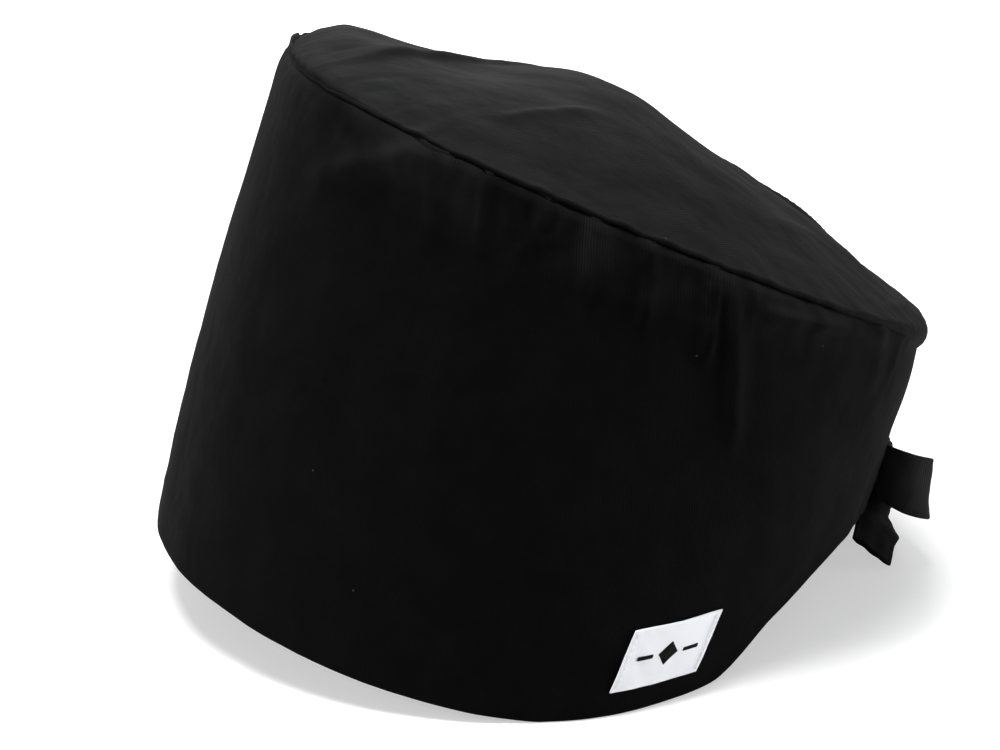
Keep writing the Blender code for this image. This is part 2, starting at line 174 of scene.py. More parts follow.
def uncut_opening(angle):
    x, y = oval(angle, OPENING_HALF_WIDTH, OPENING_HALF_LENGTH, OPENING_SQUARENESS)
    forward = np.cos(np.radians(angle))
    back = np.maximum(-forward, 0.0)
    x = x * (1.0 - OPENING_BACK_PINCH * back * back)
    lift = np.maximum((forward - REST_HALF_ANGLE_COS) / (1.0 - REST_HALF_ANGLE_COS), 0.0)
    rear_cos = -math.cos(math.radians(BACK_RISE_START))
    drop = np.maximum((back - rear_cos) / (1.0 - rear_cos), 0.0)
    z = FRONT_LIFT * lift**FRONT_LIFT_POWER - BACK_DROP * drop * drop
    return vectors(x, OPENING_CENTRE_Y + y, z)


def outward(angle):
    edge = uncut_opening(angle)
    return unit(vectors(edge[..., 0], edge[..., 1] - OPENING_CENTRE_Y, 0.0))


def wall_share(angle):
    past = np.abs(turned(angle, 0.0)) - BACK_RISE_START
    rise = smooth_step(past / (BACK_RISE_END - BACK_RISE_START)) ** BACK_RISE_POWER
    return 1.0 - (1.0 - BACK_WALL_SHARE) * rise * smooth_step(past / BACK_RISE_EASE)


def wall_length(angle):
    return np.linalg.norm(uncut_opening(angle) - crown_seam(angle), axis=-1) * wall_share(angle)


def arc_lengths(points):
    steps = np.linalg.norm(np.diff(points, axis=0), axis=-1)
    return np.concatenate(([0.0], np.cumsum(steps)))


FINE_ANGLES = np.linspace(-180.0, 180.0, 1441)
SEAM_ARCS = arc_lengths(crown_seam(FINE_ANGLES))
SEAM_ROUND = SEAM_ARCS[-1]


def seam_arc(angle):
    """Distance along the crown seam from the centre back, towards the wearer's right first."""
    return np.interp(turned(angle, 0.0), FINE_ANGLES, SEAM_ARCS)


def bumps(points, size, seed, octaves=2):
    """Smooth noise of about -1 to 1 at each point; size is one bump's width."""
    flat = points.reshape(-1, 3) / size + seed
    values = [noise.fractal(Vector(point), 1.0, 2.0, octaves) for point in flat]
    return np.array(values).reshape(points.shape[:-1])


def fold(across, along, start, end, height, width, lower_share=1.0):
    """A cloth fold on a flat map: a ridge from start to end, which fades at both ends."""
    line = np.array(end) - np.array(start)
    length = np.linalg.norm(line)
    line = line / length
    x = across - start[0]
    y = along - start[1]
    run = (x * line[0] + y * line[1]) / length
    aside = (x * line[1] - y * line[0]) / width
    aside = np.where(aside > 0.0, aside, aside / lower_share)
    ends = smooth_step(run / 0.3) * smooth_step((1.0 - run) / 0.3)
    return height * bell(aside) * ends


# --- the band's relief

GATHER_SEED = 11
GATHER_SPACING = 0.0085
GATHER_HEIGHT = 0.0010
GATHER_FADE = 0.030
SHOULDER = 0.0012
REAR_SWELL = 0.0010
SLOW_WAVES = 0.0011
FINE_WAVES = 0.00022
NAPE_PLEAT = 0.00055
NAPE_PLEAT_PITCH = 0.0088
NAPE_PLEAT_SPREAD = 26.0
BACK_SEAM_DIP = 0.0006
BACK_SEAM_WIDTH = 0.0011
BACK_SEAM_REACH = 0.075
HEM_RIDGE = 0.00012
DEEPEST_DENT = -0.0005
BAND_FOLDS = [
    # angle, start and end as (across, below the seam), height, width, share of the lower side
    (34.0, (0.032, -0.005), (-0.014, 0.022), 0.0025, 0.0050, 0.40),
    (52.0, (0.000, -0.003), (0.004, 0.024), 0.0010, 0.0030, 0.7),
    (61.0, (0.000, -0.008), (0.003, 0.019), 0.0025, 0.0017, 0.6),
    (72.0, (0.000, -0.006), (-0.001, 0.016), 0.0013, 0.0018, 0.8),
    (79.0, (0.000, -0.009), (0.001, 0.020), 0.0025, 0.0017, 0.7),
    (86.0, (0.000, -0.009), (0.004, 0.024), 0.0026, 0.0018, 0.6),
    (93.0, (0.000, -0.009), (0.005, 0.026), 0.0026, 0.0018, 0.6),
    (95.0, (0.001, -0.002), (0.014, 0.042), 0.0022, 0.0030, 0.5),
    (106.0, (-0.010, 0.006), (0.026, 0.003), 0.0024, 0.0018, 0.9),
    (127.0, (0.000, -0.006), (0.005, 0.020), 0.0006, 0.0032, 0.7),
    (205.0, (0.000, -0.006), (0.002, 0.026), 0.0010, 0.0032, 0.7),
    (236.0, (0.000, -0.006), (-0.004, 0.030), 0.0014, 0.0030, 0.7),
    (268.0, (0.000, -0.006), (0.004, 0.024), 0.0016, 0.0024, 0.6),
    (300.0, (0.000, -0.006), (-0.004, 0.030), 0.0016, 0.0028, 0.6),
    (335.0, (0.000, -0.004), (0.006, 0.020), 0.0010, 0.0030, 0.7),
]


def seam_gathers():
    """Short puckers at the crown seam: (place along the seam, height, width, reach, lean)."""
    draw = random.Random(GATHER_SEED)
    puckers = []
    place = 0.0
    while place < SEAM_ROUND - GATHER_SPACING / 2:
        strength = draw.uniform(0.35, 1.0)
        centre = place + draw.uniform(-0.25, 0.25) * GATHER_SPACING
        width = 0.0017 + 0.0016 * draw.random()
        reach = 0.005 + 0.013 * strength * draw.random()
        lean = draw.uniform(-0.35, 0.35)
        puckers.append((centre, GATHER_HEIGHT * strength, width, reach, lean))
        place += GATHER_SPACING * draw.uniform(0.7, 1.4)
    return puckers


GATHERS = seam_gathers()


def round_the_seam(arc, place):
    """The signed distance along the closed seam from one place to another."""
    return (arc - place + SEAM_ROUND / 2) % SEAM_ROUND - SEAM_ROUND / 2


GATHERS_FROM, GATHERS_TO, GATHERS_EASE = 20.0, 150.0, 45.0
GATHERS_EVERYWHERE = 0.15
GATHERS_AT_SIDES = 1.25


def gathered(angle, arc, below):
    """Puckers below the seam, strong at the sides and nearly gone at the front and back."""
    from_front = np.abs(turned(angle, 0.0))
    at_sides = smooth_step((from_front - GATHERS_FROM) / GATHERS_EASE)
    at_sides = at_sides * smooth_step((GATHERS_TO - from_front) / GATHERS_EASE)
    relief = np.zeros(np.broadcast(arc, below).shape)
    for place, height, width, reach, lean in GATHERS:
        aside = round_the_seam(arc, place + lean * below) / width
        shape = (1.0 - 1.4 * aside * aside) * bell(aside)
        rise = (1.0 - np.exp(-below / 0.0015)) * np.exp(-below / reach) * bell(below / GATHER_FADE)
        relief += np.where(np.abs(aside) < 3.5, height * shape * rise, 0.0)
    return (GATHERS_AT_SIDES * at_sides + GATHERS_EVERYWHERE) * relief


def shoulder(angle, below):
    """The soft fullness under the seam, absent at the front and back."""
    shape = (1.0 - np.exp(-below / 0.004)) * np.exp(-below / 0.035)
    ends = 1.3 * bell(turned(angle, 0.0) / 38.0) + 0.8 * bell(turned(angle, BACK) / 42.0)
    return shape * SHOULDER * (1.0 - ends)


def nape_pleats(angle, arc, above, points):
    """Small upright pleats above the hem, where the nape is drawn in."""
    uneven = 2.2 * bumps(points, 0.03, 5.0)
    pleats = np.sin(arc * 2.0 * math.pi / NAPE_PLEAT_PITCH + uneven)
    pleats = pleats * bell(turned(angle, BACK) / NAPE_PLEAT_SPREAD)
    return NAPE_PLEAT * pleats * bell(np.maximum(above - 0.011, 0.0) / 0.009)


def back_seam_dip(angle):
    """The groove of the seam that joins the band's ends at the centre back."""
    aside = (outward(angle) @ LEFTWARD) * BACK_SEAM_REACH / BACK_SEAM_WIDTH
    behind = np.abs(turned(angle, BACK)) < 20.0
    return np.where(behind, BACK_SEAM_DIP * bell(aside), 0.0)


def band_relief(angle, below, above, points):
    """How far the band's cloth stands off its plain surface, given distances from seam and hem."""
    arc = seam_arc(angle)
    relief = gathered(angle, arc, below)
    for side_angle, start, end, height, width, lower in BAND_FOLDS:
        across = arc - seam_arc(np.array(side_angle))
        relief += fold(across, below, start, end, height, width, lower)
    relief += shoulder(angle, below)
    relief += REAR_SWELL * bell(turned(angle, 175.0) / 40.0) * bell((below - 0.013) / 0.009)
    stretched = points * np.array((1.0, 1.0, 0.35))
    relief += SLOW_WAVES * bumps(stretched, 0.045, 3.7) * smooth_step(below / 0.03)
    relief += FINE_WAVES * bumps(points, 0.011, 9.1, 3)
    relief += nape_pleats(angle, arc, above, points)
    relief -= back_seam_dip(angle)
    relief += HEM_RIDGE * bell((above - HEM_HEIGHT) / 0.0015)
    return np.maximum(relief, DEEPEST_DENT)


# --- meshes


def add_to_scene(name, data):
    made = bpy.data.objects.new(name, data)
    bpy.context.scene.collection.objects.link(made)
    return made


class Shape:
    """Quads and fans for one piece, with cloth coordinates in metres on every face corner."""

    def __init__(self):
        self.points = []
        self.count = 0
        self.faces = []
        self.corners = []
        self.slots = []

    def add_points(self, points):
        first = self.count
        flat = np.asarray(points, float).reshape(-1, 3)
        self.points.append(flat)
        self.count += len(flat)
        return first

    def add_face(self, face, corners, slot=0):
        self.faces.append(face)
        self.corners.extend(corners)
        self.slots.append(slot)

    def grid(self, points, corners=None, closed=False, slot=0, skip=None):
        """A sheet from points[row][column]: rows run down, columns anticlockwise, seen from outside."""
        rows, columns = points.shape[:2]
        first = self.add_points(points)
        if corners is None:
            corners = cloth_map(points, closed)
        for i in range(rows - 1):
            for j in range(columns if closed else columns - 1):
                if skip is not None and skip[i, j]:
                    continue
                places = ((i, j), (i + 1, j), (i + 1, j + 1), (i, j + 1))
                face = [first + row * columns + column % columns for row, column in places]
                self.add_face(face, [corners[place] for place in places], slot)
        return first

    def fan(self, ring, tip, corners, tip_corner, slot=0, reverse=False):
        """Triangles from a ring of vertex numbers to one new point."""
        top = self.add_points(tip)
        order = -1 if reverse else 1
        for j in range(len(ring)):
            face = (top, ring[j], ring[(j + 1) % len(ring)])
            places = (tip_corner, corners[j], corners[j + 1])
            self.add_face(face[::order], places[::order], slot)

    def close_ends(self, first, points, corners, tip_corner=None, slot=0):
        """Fans over the first and last rows of a closed grid whose vertices start at first."""
        rows, columns = points.shape[:2]
        for end, reverse in ((0, False), (rows - 1, True)):
            ring = [first + end * columns + j for j in range(columns)]
            tip = corners[end, 0] if tip_corner is None else tip_corner
            self.fan(ring, points[end].mean(axis=0), corners[end], tip, slot, reverse)

    def tube(self, points, corners, tip_corner=None, slot=0):
        """A closed grid with a fan over each end."""
        first = self.grid(points, corners, closed=True, slot=slot)
        self.close_ends(first, points, corners, tip_corner, slot)

    def piece(self, name, *materials):
        mesh = bpy.data.meshes.new(name)
        points = np.concatenate(self.points).tolist()
        mesh.from_pydata(points, [], self.faces)
        layer = mesh.uv_layers.new(name="cloth")
        layer.data.foreach_set("uv", np.asarray(self.corners, np.float32).ravel())
        mesh.polygons.foreach_set("material_index", self.slots)
        for material in materials:
            mesh.materials.append(material)
        mesh.shade_smooth()
        return add_to_scene(name, mesh)


def cloth_map(points, closed):
    """Cloth coordinates for a grid: distance along its middle row, and down its middle column."""
    rows, columns = points.shape[:2]
    middle = points[rows // 2]
    if closed:
        middle = np.concatenate((middle, middle[:1]))
    across = arc_lengths(middle)
    down = arc_lengths(points[:, columns // 2])
    return np.stack(np.meshgrid(across, -down), axis=-1)


def thicken(made, thickness, offset=-1.0):
    """Gives a sheet its cloth thickness; offset -1 adds it behind, 0 on both sides."""
    modifier = made.modifiers.new("Thickness", "SOLIDIFY")
    modifier.thickness = thickness
    modifier.offset = offset
    modifier.use_rim = True


def apply_modifiers(made):
    graph = bpy.context.evaluated_depsgraph_get()
    mesh = bpy.data.meshes.new_from_object(made.evaluated_get(graph))
    made.modifiers.clear()
    old = made.data
    made.data = mesh
    bpy.data.meshes.remove(old)


def turn_outward(made):
    """Turns a closed mesh's faces outward when they point in."""
    volume = 0.0
    for face in made.data.polygons:
        corners = [made.data.vertices[k].co for k in face.vertices]
        for i in range(1, len(corners) - 1):
            volume += corners[0].dot(corners[i].cross(corners[i + 1]))
    if volume < 0.0:
        made.data.flip_normals()


def place(made, body, slot, *nodes):
    """Hands a finished piece over to its CAD body, in place of the CAD nodes it stands for."""
    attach(made, body)
    if nodes:
        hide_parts(*nodes)


def bend(made, body):
    """Bakes a piece's transform into its mesh and hides the CAD node named after the body."""
    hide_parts(body)
    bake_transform(made)


def cloth_piece(shape, name, look, thickness, slot, node):
    """A sheet of the cap's cloth, given its thickness and handed over for one CAD node."""
    made = shape.piece(name, look)
    thicken(made, thickness)
    place(made, "cap", slot, node)


def cloth_disc(points, corners, name, look, thickness, slot, node):
    """A cloth piece of rings from the middle outward, with a fan over the middle."""
    corners = np.concatenate((corners, corners[:, :1]), axis=1)
    shape = Shape()
    first = shape.grid(points, corners, closed=True)
    ring = [first + j for j in range(points.shape[1])]
    shape.fan(ring, points[0].mean(axis=0), corners[0], (0.0, 0.0))
    cloth_piece(shape, name, look, thickness, slot, node)


# --- materials


class Look:
    """A node material in the making. Inputs are numbers, colours or other nodes' outputs."""

    def __init__(self, name):
        self.material = bpy.data.materials.new(name)
        self.material.use_nodes = True
        self.tree = self.material.node_tree
        self.shader = self.tree.nodes["Principled BSDF"]
        self.object_place = self.node("ShaderNodeTexCoord").outputs["Object"]
        self.cloth_place = self.node("ShaderNodeUVMap", uv_map="cloth").outputs[0]
        split = self.node("ShaderNodeSeparateXYZ", {0: self.cloth_place})
        self.u, self.v = split.outputs[0], split.outputs[1]

    def feed(self, socket, value):
        """Gives a socket a number, a colour or another node's output."""
        if isinstance(value, bpy.types.NodeSocket):
            self.tree.links.new(value, socket)
        elif isinstance(value, tuple):
            socket.default_value = (*value, 1.0)
        else:
            socket.default_value = value

    def node(self, kind, inputs=None, **settings):
        made = self.tree.nodes.new(kind)
        for key, value in settings.items():
            setattr(made, key, value)
        for key, value in (inputs or {}).items():
            self.feed(made.inputs[key], value)
        return made

    def maths(self, operation, *numbers):
        inputs = dict(enumerate((*numbers, 0.0, 0.0)[:3]))
        return self.node("ShaderNodeMath", inputs, operation=operation).outputs[0]

    def times(self, first, second):
        return self.maths("MULTIPLY", first, second)

    def total(self, first, first_times, second, second_times):
        return self.maths("MULTIPLY_ADD", first, first_times, self.times(second, second_times))

    def wave(self, place, period, shift=0.0):
        """A smooth wave from 0 to 1 along a length."""
        phase = self.maths("MULTIPLY_ADD", place, 2.0 * math.pi / period, shift)
        return self.maths("MULTIPLY_ADD", self.maths("SINE", phase), 0.5, 0.5)

    def clouds(self, size, detail=2.0, roughness=0.5):
        """Noise from 0 to 1 with bumps of about the given size."""
        inputs = {"Vector": self.object_place, "Scale": 1.0 / size}
        inputs.update({"Detail": detail, "Roughness": roughness})
        return self.node("ShaderNodeTexNoise", inputs).outputs[0]

    def span(self, value, low, high, to_low=0.0, to_high=1.0):
        inputs = {0: value, 1: low, 2: high, 3: to_low, 4: to_high}
        return self.node("ShaderNodeMapRange", inputs).outputs[0]

    def blend(self, share, first, second):
        inputs = {0: share, 6: first, 7: second}
        return self.node("ShaderNodeMix", inputs, data_type="RGBA").outputs[2]

    def bump(self, height, distance, under=None):
        inputs = {"Height": height, "Distance": distance, "Strength": 1.0}
        if under is not None:
            inputs["Normal"] = under
        return self.node("ShaderNodeBump", inputs).outputs[0]

    def finish(self, base_color, roughness, **inputs):
        """Sets the shader's inputs, whose names are written in small letters with underscores."""
        inputs.update(base_color=base_color, roughness=roughness)
        for key, value in inputs.items():
            name = key.replace("_", " ").title().replace("Ior", "IOR")
            self.feed(self.shader.inputs[name], value)
        return self.material


TWILL_PITCH = 0.00062
TWILL_DEPTH = 0.00007
LINT_SPACING = 0.016
LINT_COLOUR = (0.030, 0.030, 0.032)
# How much paler the painted highlight below the band's seam makes the twill's ribs
SEAM_HIGHLIGHT_TIMES = 3.8


def grey(value):
    return (value, value, value)


def painted_seam_highlight(look, colour, light, ribs, fuzz, reach):
    """Makes the cloth's ribs paler in patches, from its top edge down to the given length: a painted
    highlight for light catching the ribs below the seam.
    """
    patchy = look.span(look.clouds(0.012), 0.36, 0.62)
    edge = look.times(look.span(look.v, -reach, -0.3 * reach), patchy)
    highlight_share = look.times(edge, look.total(ribs, 0.6, fuzz, 0.5))
    return look.blend(highlight_share, colour, tuple(SEAM_HIGHLIGHT_TIMES * part for part in light))


def with_lint(look, colour, share):
    """Small pale specks on the given share of the cells of a scatter."""
    inputs = {"Vector": look.cloth_place, "Scale": 1.0 / LINT_SPACING, "Randomness": 1.0}
    cells = look.node("ShaderNodeTexVoronoi", inputs, voronoi_dimensions="2D")
    near = look.span(cells.outputs["Distance"], 0.010, 0.020, 1.0, 0.0)
    chosen = look.node("ShaderNodeSeparateColor", {0: cells.outputs["Color"]}).outputs[0]
    chosen = look.maths("GREATER_THAN", chosen, 1.0 - share)
    return look.blend(look.times(near, chosen), colour, LINT_COLOUR)


def twill(name, dark, light, ribs_turned, sheen, lint=0.0, seam_highlight=0.0, crumple=0.0005):
    """Cotton twill: slanting ribs of short floats, unevenly worn and softly crumpled, with an optional
    painted highlight below its top edge.
    """
    look = Look(name)
    turn = math.radians(ribs_turned)
    wobble = look.maths("MULTIPLY_ADD", look.clouds(0.004, 3.0), 0.0007, -0.00035)
    across = look.total(look.u, math.cos(turn), look.v, math.sin(turn))
    across = look.maths("ADD", across, wobble)
    along = look.total(look.v, math.cos(turn), look.u, -math.sin(turn))
    ribs = look.wave(across, TWILL_PITCH)
    floats = look.wave(along, TWILL_PITCH * 0.8, look.times(across, math.pi / TWILL_PITCH))
    fuzz = look.clouds(0.00025)
    ribs = look.times(ribs, look.span(look.clouds(0.011), 0.35, 0.65, 0.35, 1.0))
    weave = look.total(look.total(ribs, 0.52, floats, 0.18), 1.0, fuzz, 0.4)
    patches = look.clouds(0.022, 5.0, roughness=0.65)
    worn = look.total(weave, 0.34, patches, 0.62)
    worn = look.total(worn, 0.85, look.clouds(0.004, 3.0), 0.24)
    colour = look.blend(look.span(worn, 0.25, 0.85), dark, light)
    # Painted highlight on the ribs below the top edge
    if seam_highlight:
        colour = painted_seam_highlight(look, colour, light, ribs, fuzz, seam_highlight)
    if lint:
        colour = with_lint(look, colour, lint)
    normal = look.bump(look.clouds(0.016, 3.0), crumple)
    normal = look.bump(look.clouds(0.0035), crumple * 0.28, normal)
    return look.finish(
        colour,
        look.span(weave, 0.2, 0.9, 0.92, 0.74),
        specular_ior_level=0.035,
        sheen_weight=sheen,
        sheen_roughness=0.40,
        sheen_tint=(0.93, 0.95, 1.0),
        normal=look.bump(weave, TWILL_DEPTH, normal),
    )


def plain_weave(name, dark, light, pitch, depth, sheen, roughness=0.8, crumple=0.0003):
    """Plain weave: warp over weft by turns, with uneven yarns."""
    look = Look(name)
    wobble = look.maths("MULTIPLY_ADD", look.clouds(0.003), 0.0004, -0.0002)
    warp = look.wave(look.maths("ADD", look.u, wobble), pitch)
    weft = look.wave(look.maths("ADD", look.v, wobble), pitch)
    over = look.times(warp, weft)
    under = look.times(look.maths("SUBTRACT", 1.0, warp), look.maths("SUBTRACT", 1.0, weft))
    weave = look.total(look.maths("ADD", over, under), 0.8, look.clouds(0.0004), 0.4)
    colour = look.blend(look.total(weave, 0.6, look.clouds(0.02, 4.0), 0.4), dark, light)
    return look.finish(
        colour,
        look.span(weave, 0.0, 1.0, roughness + 0.08, roughness - 0.08),
        specular_ior_level=0.2,
        sheen_weight=sheen,
        sheen_roughness=0.4,
        normal=look.bump(weave, depth, look.bump(look.clouds(0.012, 3.0), crumple)),
    )


def terry(name, dark, light):
    """Brushed towelling: small loops, matted here and there."""
    look = Look(name)
    inputs = {"Vector": look.object_place, "Scale": 1.0 / 0.0011}
    loops = look.node("ShaderNodeTexVoronoi", inputs).outputs["Distance"]
    fuzz = look.clouds(0.0004, 3.0)
    height = look.total(look.maths("SUBTRACT", 1.0, loops), 0.7, fuzz, 0.4)
    matted = look.clouds(0.012, 3.0)
    colour = look.blend(look.total(height, 0.5, matted, 0.5), dark, light)
    return look.finish(
        colour,
        look.span(height, 0.0, 1.0, 1.0, 0.85),
        specular_ior_level=0.08,
        sheen_weight=0.5,
        sheen_roughness=0.5,
        normal=look.bump(height, 0.00035, look.bump(matted, 0.0006)),
    )


def thread_look(name, dark, light):
    """Twisted sewing thread."""
    look = Look(name)
    twist = look.wave(look.maths("ADD", look.u, look.v), 0.00045)
    fuzz = look.clouds(0.0003)
    height = look.total(twist, 0.7, fuzz, 0.3)
    colour = look.blend(height, dark, light)
    return look.finish(
        colour,
        look.span(fuzz, 0.0, 1.0, 0.55, 0.75),
        specular_ior_level=0.05,
        sheen_weight=0.01,
        normal=look.bump(height, 0.00005),
    )


def ribbed_web(name, dark, light):
    """Elastic webbing, ribbed along its length."""
    look = Look(name)
    height = look.node("ShaderNodeSeparateXYZ", {0: look.object_place}).outputs[2]
    ribs = look.wave(height, 0.0011)
    knit = look.clouds(0.0006, 3.0)
    height = look.total(ribs, 0.7, knit, 0.4)
    colour = look.blend(height, dark, light)
    return look.finish(colour, look.span(knit, 0.0, 1.0, 0.6, 0.8), normal=look.bump(height, 0.0002))


def felt(name, dark, light):
    """Pressed interfacing: short fibres without a weave."""
    look = Look(name)
    fibres = look.clouds(0.0009, 4.0, roughness=0.7)
    colour = look.blend(look.total(fibres, 0.6, look.clouds(0.01, 3.0), 0.4), dark, light)
    rough = look.span(fibres, 0.0, 1.0, 0.85, 1.0)
    return look.finish(colour, rough, normal=look.bump(fibres, 0.00012))


# The band's twill has a painted highlight on its ribs just below the crown seam
BAND_LOOK = twill("band_twill", grey(0.0011), grey(0.0031), 8.0, 0.009, lint=0.04, seam_highlight=0.018)
# The crown's twill is about three times paler than the band's, partly as painted light for the overhead
# light falling on the cap's top
CROWN_DARK, CROWN_LIGHT = (0.0034, 0.0034, 0.0036), (0.0086, 0.0087, 0.0092)
CROWN_LOOK = twill("crown_twill", CROWN_DARK, CROWN_LIGHT, 37.0, 0.008, lint=0.05)
TIE_DARK, TIE_LIGHT = (0.0070, 0.0070, 0.0072), (0.0170, 0.0170, 0.0174)
TIE_LOOK = twill("tie_twill", TIE_DARK, TIE_LIGHT, 35.0, 0.02, crumple=0.0002)
LINING_DARK, LINING_LIGHT = (0.010, 0.010, 0.011), (0.030, 0.030, 0.033)
LINING_LOOK = plain_weave("lining_weave", LINING_DARK, LINING_LIGHT, 0.0005, 0.00006, 0.15)
SWEATBAND_LOOK = terry("sweatband_terry", (0.009, 0.009, 0.010), (0.030, 0.030, 0.033))
# The tails' twill is the tie's cloth painted about two and a half times darker: painted shade for the
# shadow the loops and the cap cast on the tails
TIE_SHADED_DARK, TIE_SHADED_LIGHT = (0.0026, 0.0026, 0.0027), (0.0068, 0.0068, 0.0070)
TIE_SHADED_LOOK = twill("tie_twill_painted_shade", TIE_SHADED_DARK, TIE_SHADED_LIGHT, 35.0, 0.01, crumple=0.0002)
THREAD_LOOK = thread_look("black_thread", (0.0030, 0.0030, 0.0031), (0.009, 0.009, 0.0094))
WHITE_THREAD_LOOK = thread_look("white_thread", (0.62, 0.63, 0.65), (0.86, 0.87, 0.89))
LABEL_DARK, LABEL_LIGHT = (0.70, 0.71, 0.74), (0.90, 0.91, 0.94)
LABEL_LOOK = plain_weave("label_weave", LABEL_DARK, LABEL_LIGHT, 0.00036, 0.00004, 0.1, 0.6, 0.0001)
ELASTIC_LOOK = ribbed_web("elastic_web", (0.02, 0.02, 0.021), (0.07, 0.07, 0.075))
FELT_LOOK = felt("stiffener_felt", (0.48, 0.48, 0.46), (0.72, 0.72, 0.69))


# --- band


def wall(angle, share, offset, depth):
    """Points on the relief wall: share of the way from seam to hem, offset down, depth inward."""
    angle, share, offset, depth = np.broadcast_arrays(angle, share, offset, depth)
    length = wall_length(angle)
    below = share * length + offset
    along = wall_share(angle) * below / length
    base = crown_seam(angle) + (uncut_opening(angle) - crown_seam(angle)) * along[..., None]
    base = base + outward(angle) * (WALL_BULGE * np.sin(math.pi * along))[..., None]
    relief = band_relief(angle, np.maximum(below, 0.0), np.maximum(length - below, 0.0), base)
    return base + outward(angle) * (relief - depth)[..., None]


LIP = 0.0004
LIP_REACH = 1.0 / 14.0
BAND_COLUMNS = 432
BAND_ROWS = 72
BAND_ROW_CROWDING = 1.45
HEM_ZONE = 0.020
HEM_FOLD_STEPS = 8
TOP_EDGE = [
    # below the seam, depth inward: from the turned-in edge, over the lip, to the outer face
    (0.0022, 0.0016),
    (0.0014, 0.0015),
    (0.0008, 0.0012),
    (0.0006, 0.0008),
    (0.0007, 0.0004),
    (0.0010, 0.0001),
    (0.0015, -0.0002),
]
FACE_TOP = 0.0022


def band_rows():
    """The band's cloth from its turned-in top edge down to the hem, round the fold and up inside."""
    rows = [(0.0, *row) for row in TOP_EDGE]
    for i in range(BAND_ROWS):
        share = (i / BAND_ROWS) ** BAND_ROW_CROWDING
        offset = (1.0 - share) * FACE_TOP - share * HEM_ZONE
        rows.append((share, offset, -LIP * math.exp(-share / LIP_REACH)))
    slit_top = TIE_EXIT_ABOVE_HEM + BUTTONHOLE_HEIGHT / 2
    slit_bottom = TIE_EXIT_ABOVE_HEM - BUTTONHOLE_HEIGHT / 2
    heights = [HEM_ZONE, 0.018, slit_top, 0.0148, 0.0132, 0.0116]
    heights += [HEM_HEIGHT, 0.0087, 0.0072, 0.0057, 0.0042, slit_bottom, 0.0018, 0.0010]
    rows += [(1.0, -height, 0.0) for height in heights]
    radius = HEM_DEPTH / 2
    for i in range(1, HEM_FOLD_STEPS):
        turn = math.pi * i / HEM_FOLD_STEPS
        rows.append((1.0, -radius + radius * math.sin(turn), radius - radius * math.cos(turn)))
    inside = [height for height in reversed(heights) if height < HEM_HEIGHT + TINY]
    rows += [(1.0, -height, HEM_DEPTH) for height in inside]
    return np.array(rows), slit_bottom, slit_top


def exit_frame(side):
    """A buttonhole's centre, and unit vectors across it, up it and out of it."""
    angle = BACK + side * (TIE_EXIT_ANGLE - BACK)
    centre = wall(angle, 1.0, -TIE_EXIT_ABOVE_HEM, 0.0)
    out = outward(np.array(angle))
    up = unit(wall(angle, 1.0, -0.016, 0.0) - wall(angle, 1.0, -0.004, 0.0))
    across = unit(np.cross(up, out))
    return centre, across, up, np.cross(across, up)


def slit_half_angle():
    """Half a buttonhole's width as an angle at its place on the wall."""
    degree = np.array([TIE_EXIT_ANGLE, TIE_EXIT_ANGLE + 1.0])
    near = wall(degree, 1.0, -TIE_EXIT_ABOVE_HEM, 0.0)
    return BUTTONHOLE_WIDTH / 2 / np.linalg.norm(near[1] - near[0])


NEAR_SEAM = 0.010
FRONT_DROP = 0.0030
FRONT_INSET = 0.0020


def front_tuck(angle):
    """The share, at each angle, of how far the seam is pulled down and in at the front."""
    return bell(turned(angle, 2.0) / 30.0)


def seam_waver(angles, seed):
    """How far the cloth's edge strays from the seam line, in metres."""
    points = crown_seam(angles)
    return 0.00028 * bumps(points, 0.007, seed) + 0.00016 * bumps(points, 0.0025, seed + 4.0)


def slit_columns(angles):
    """Moves the columns nearest each buttonhole's edges onto them: [[first, last], [first, last]]."""
    half = slit_half_angle()
    slits = []
    for exit_angle in (TIE_EXIT_ANGLE, 2.0 * BACK - TIE_EXIT_ANGLE):
        edges = []
        for edge in (exit_angle - half, exit_angle + half):
            column = int(np.argmin(np.abs(turned(angles, edge))))
            angles[column] += turned(edge, angles[column])
            edges.append(column)
        slits.append(edges)
    return slits


def slit_faces(rows, slits, slit_bottom, slit_top):
    """Marks the faces to leave out for the buttonholes: a table of rows by columns."""
    height = np.where(rows[:, 0] > 1.0 - TINY, -rows[:, 1], 1.0)
    skip = np.zeros((len(rows), BAND_COLUMNS), bool)
    for i in range(len(rows) - 1):
        low, high = sorted((height[i], height[i + 1]))
        if high < slit_top + TINY and low > slit_bottom - TINY:
            for first, last in slits:
                skip[i, first:last] = True
    return skip


def band():
    """The outer wall, one sheet with a rolled top edge, a folded hem and two buttonholes."""
    angles = around(BAND_COLUMNS)
    slits = slit_columns(angles)
    rows, slit_bottom, slit_top = band_rows()
    below = rows[:, :1] * wall_length(angles) + rows[:, 1:2]
    near_seam = np.clip(1.0 - below / NEAR_SEAM, 0.0, 1.0) ** 2
    waver = seam_waver(angles, 15.0) * near_seam
    tuck = front_tuck(angles) * near_seam
    offset = rows[:, 1:2] + waver + FRONT_DROP * tuck
    depth = rows[:, 2:3] - 0.9 * waver + FRONT_INSET * tuck
    points = wall(angles[None, :], rows[:, :1], offset, depth)
    shape = Shape()
    shape.grid(points, closed=True, skip=slit_faces(rows, slits, slit_bottom, slit_top))
    cloth_piece(shape, "band_cloth", BAND_LOOK, BAND_CLOTH, "black_twill", "side_band")


# --- crown

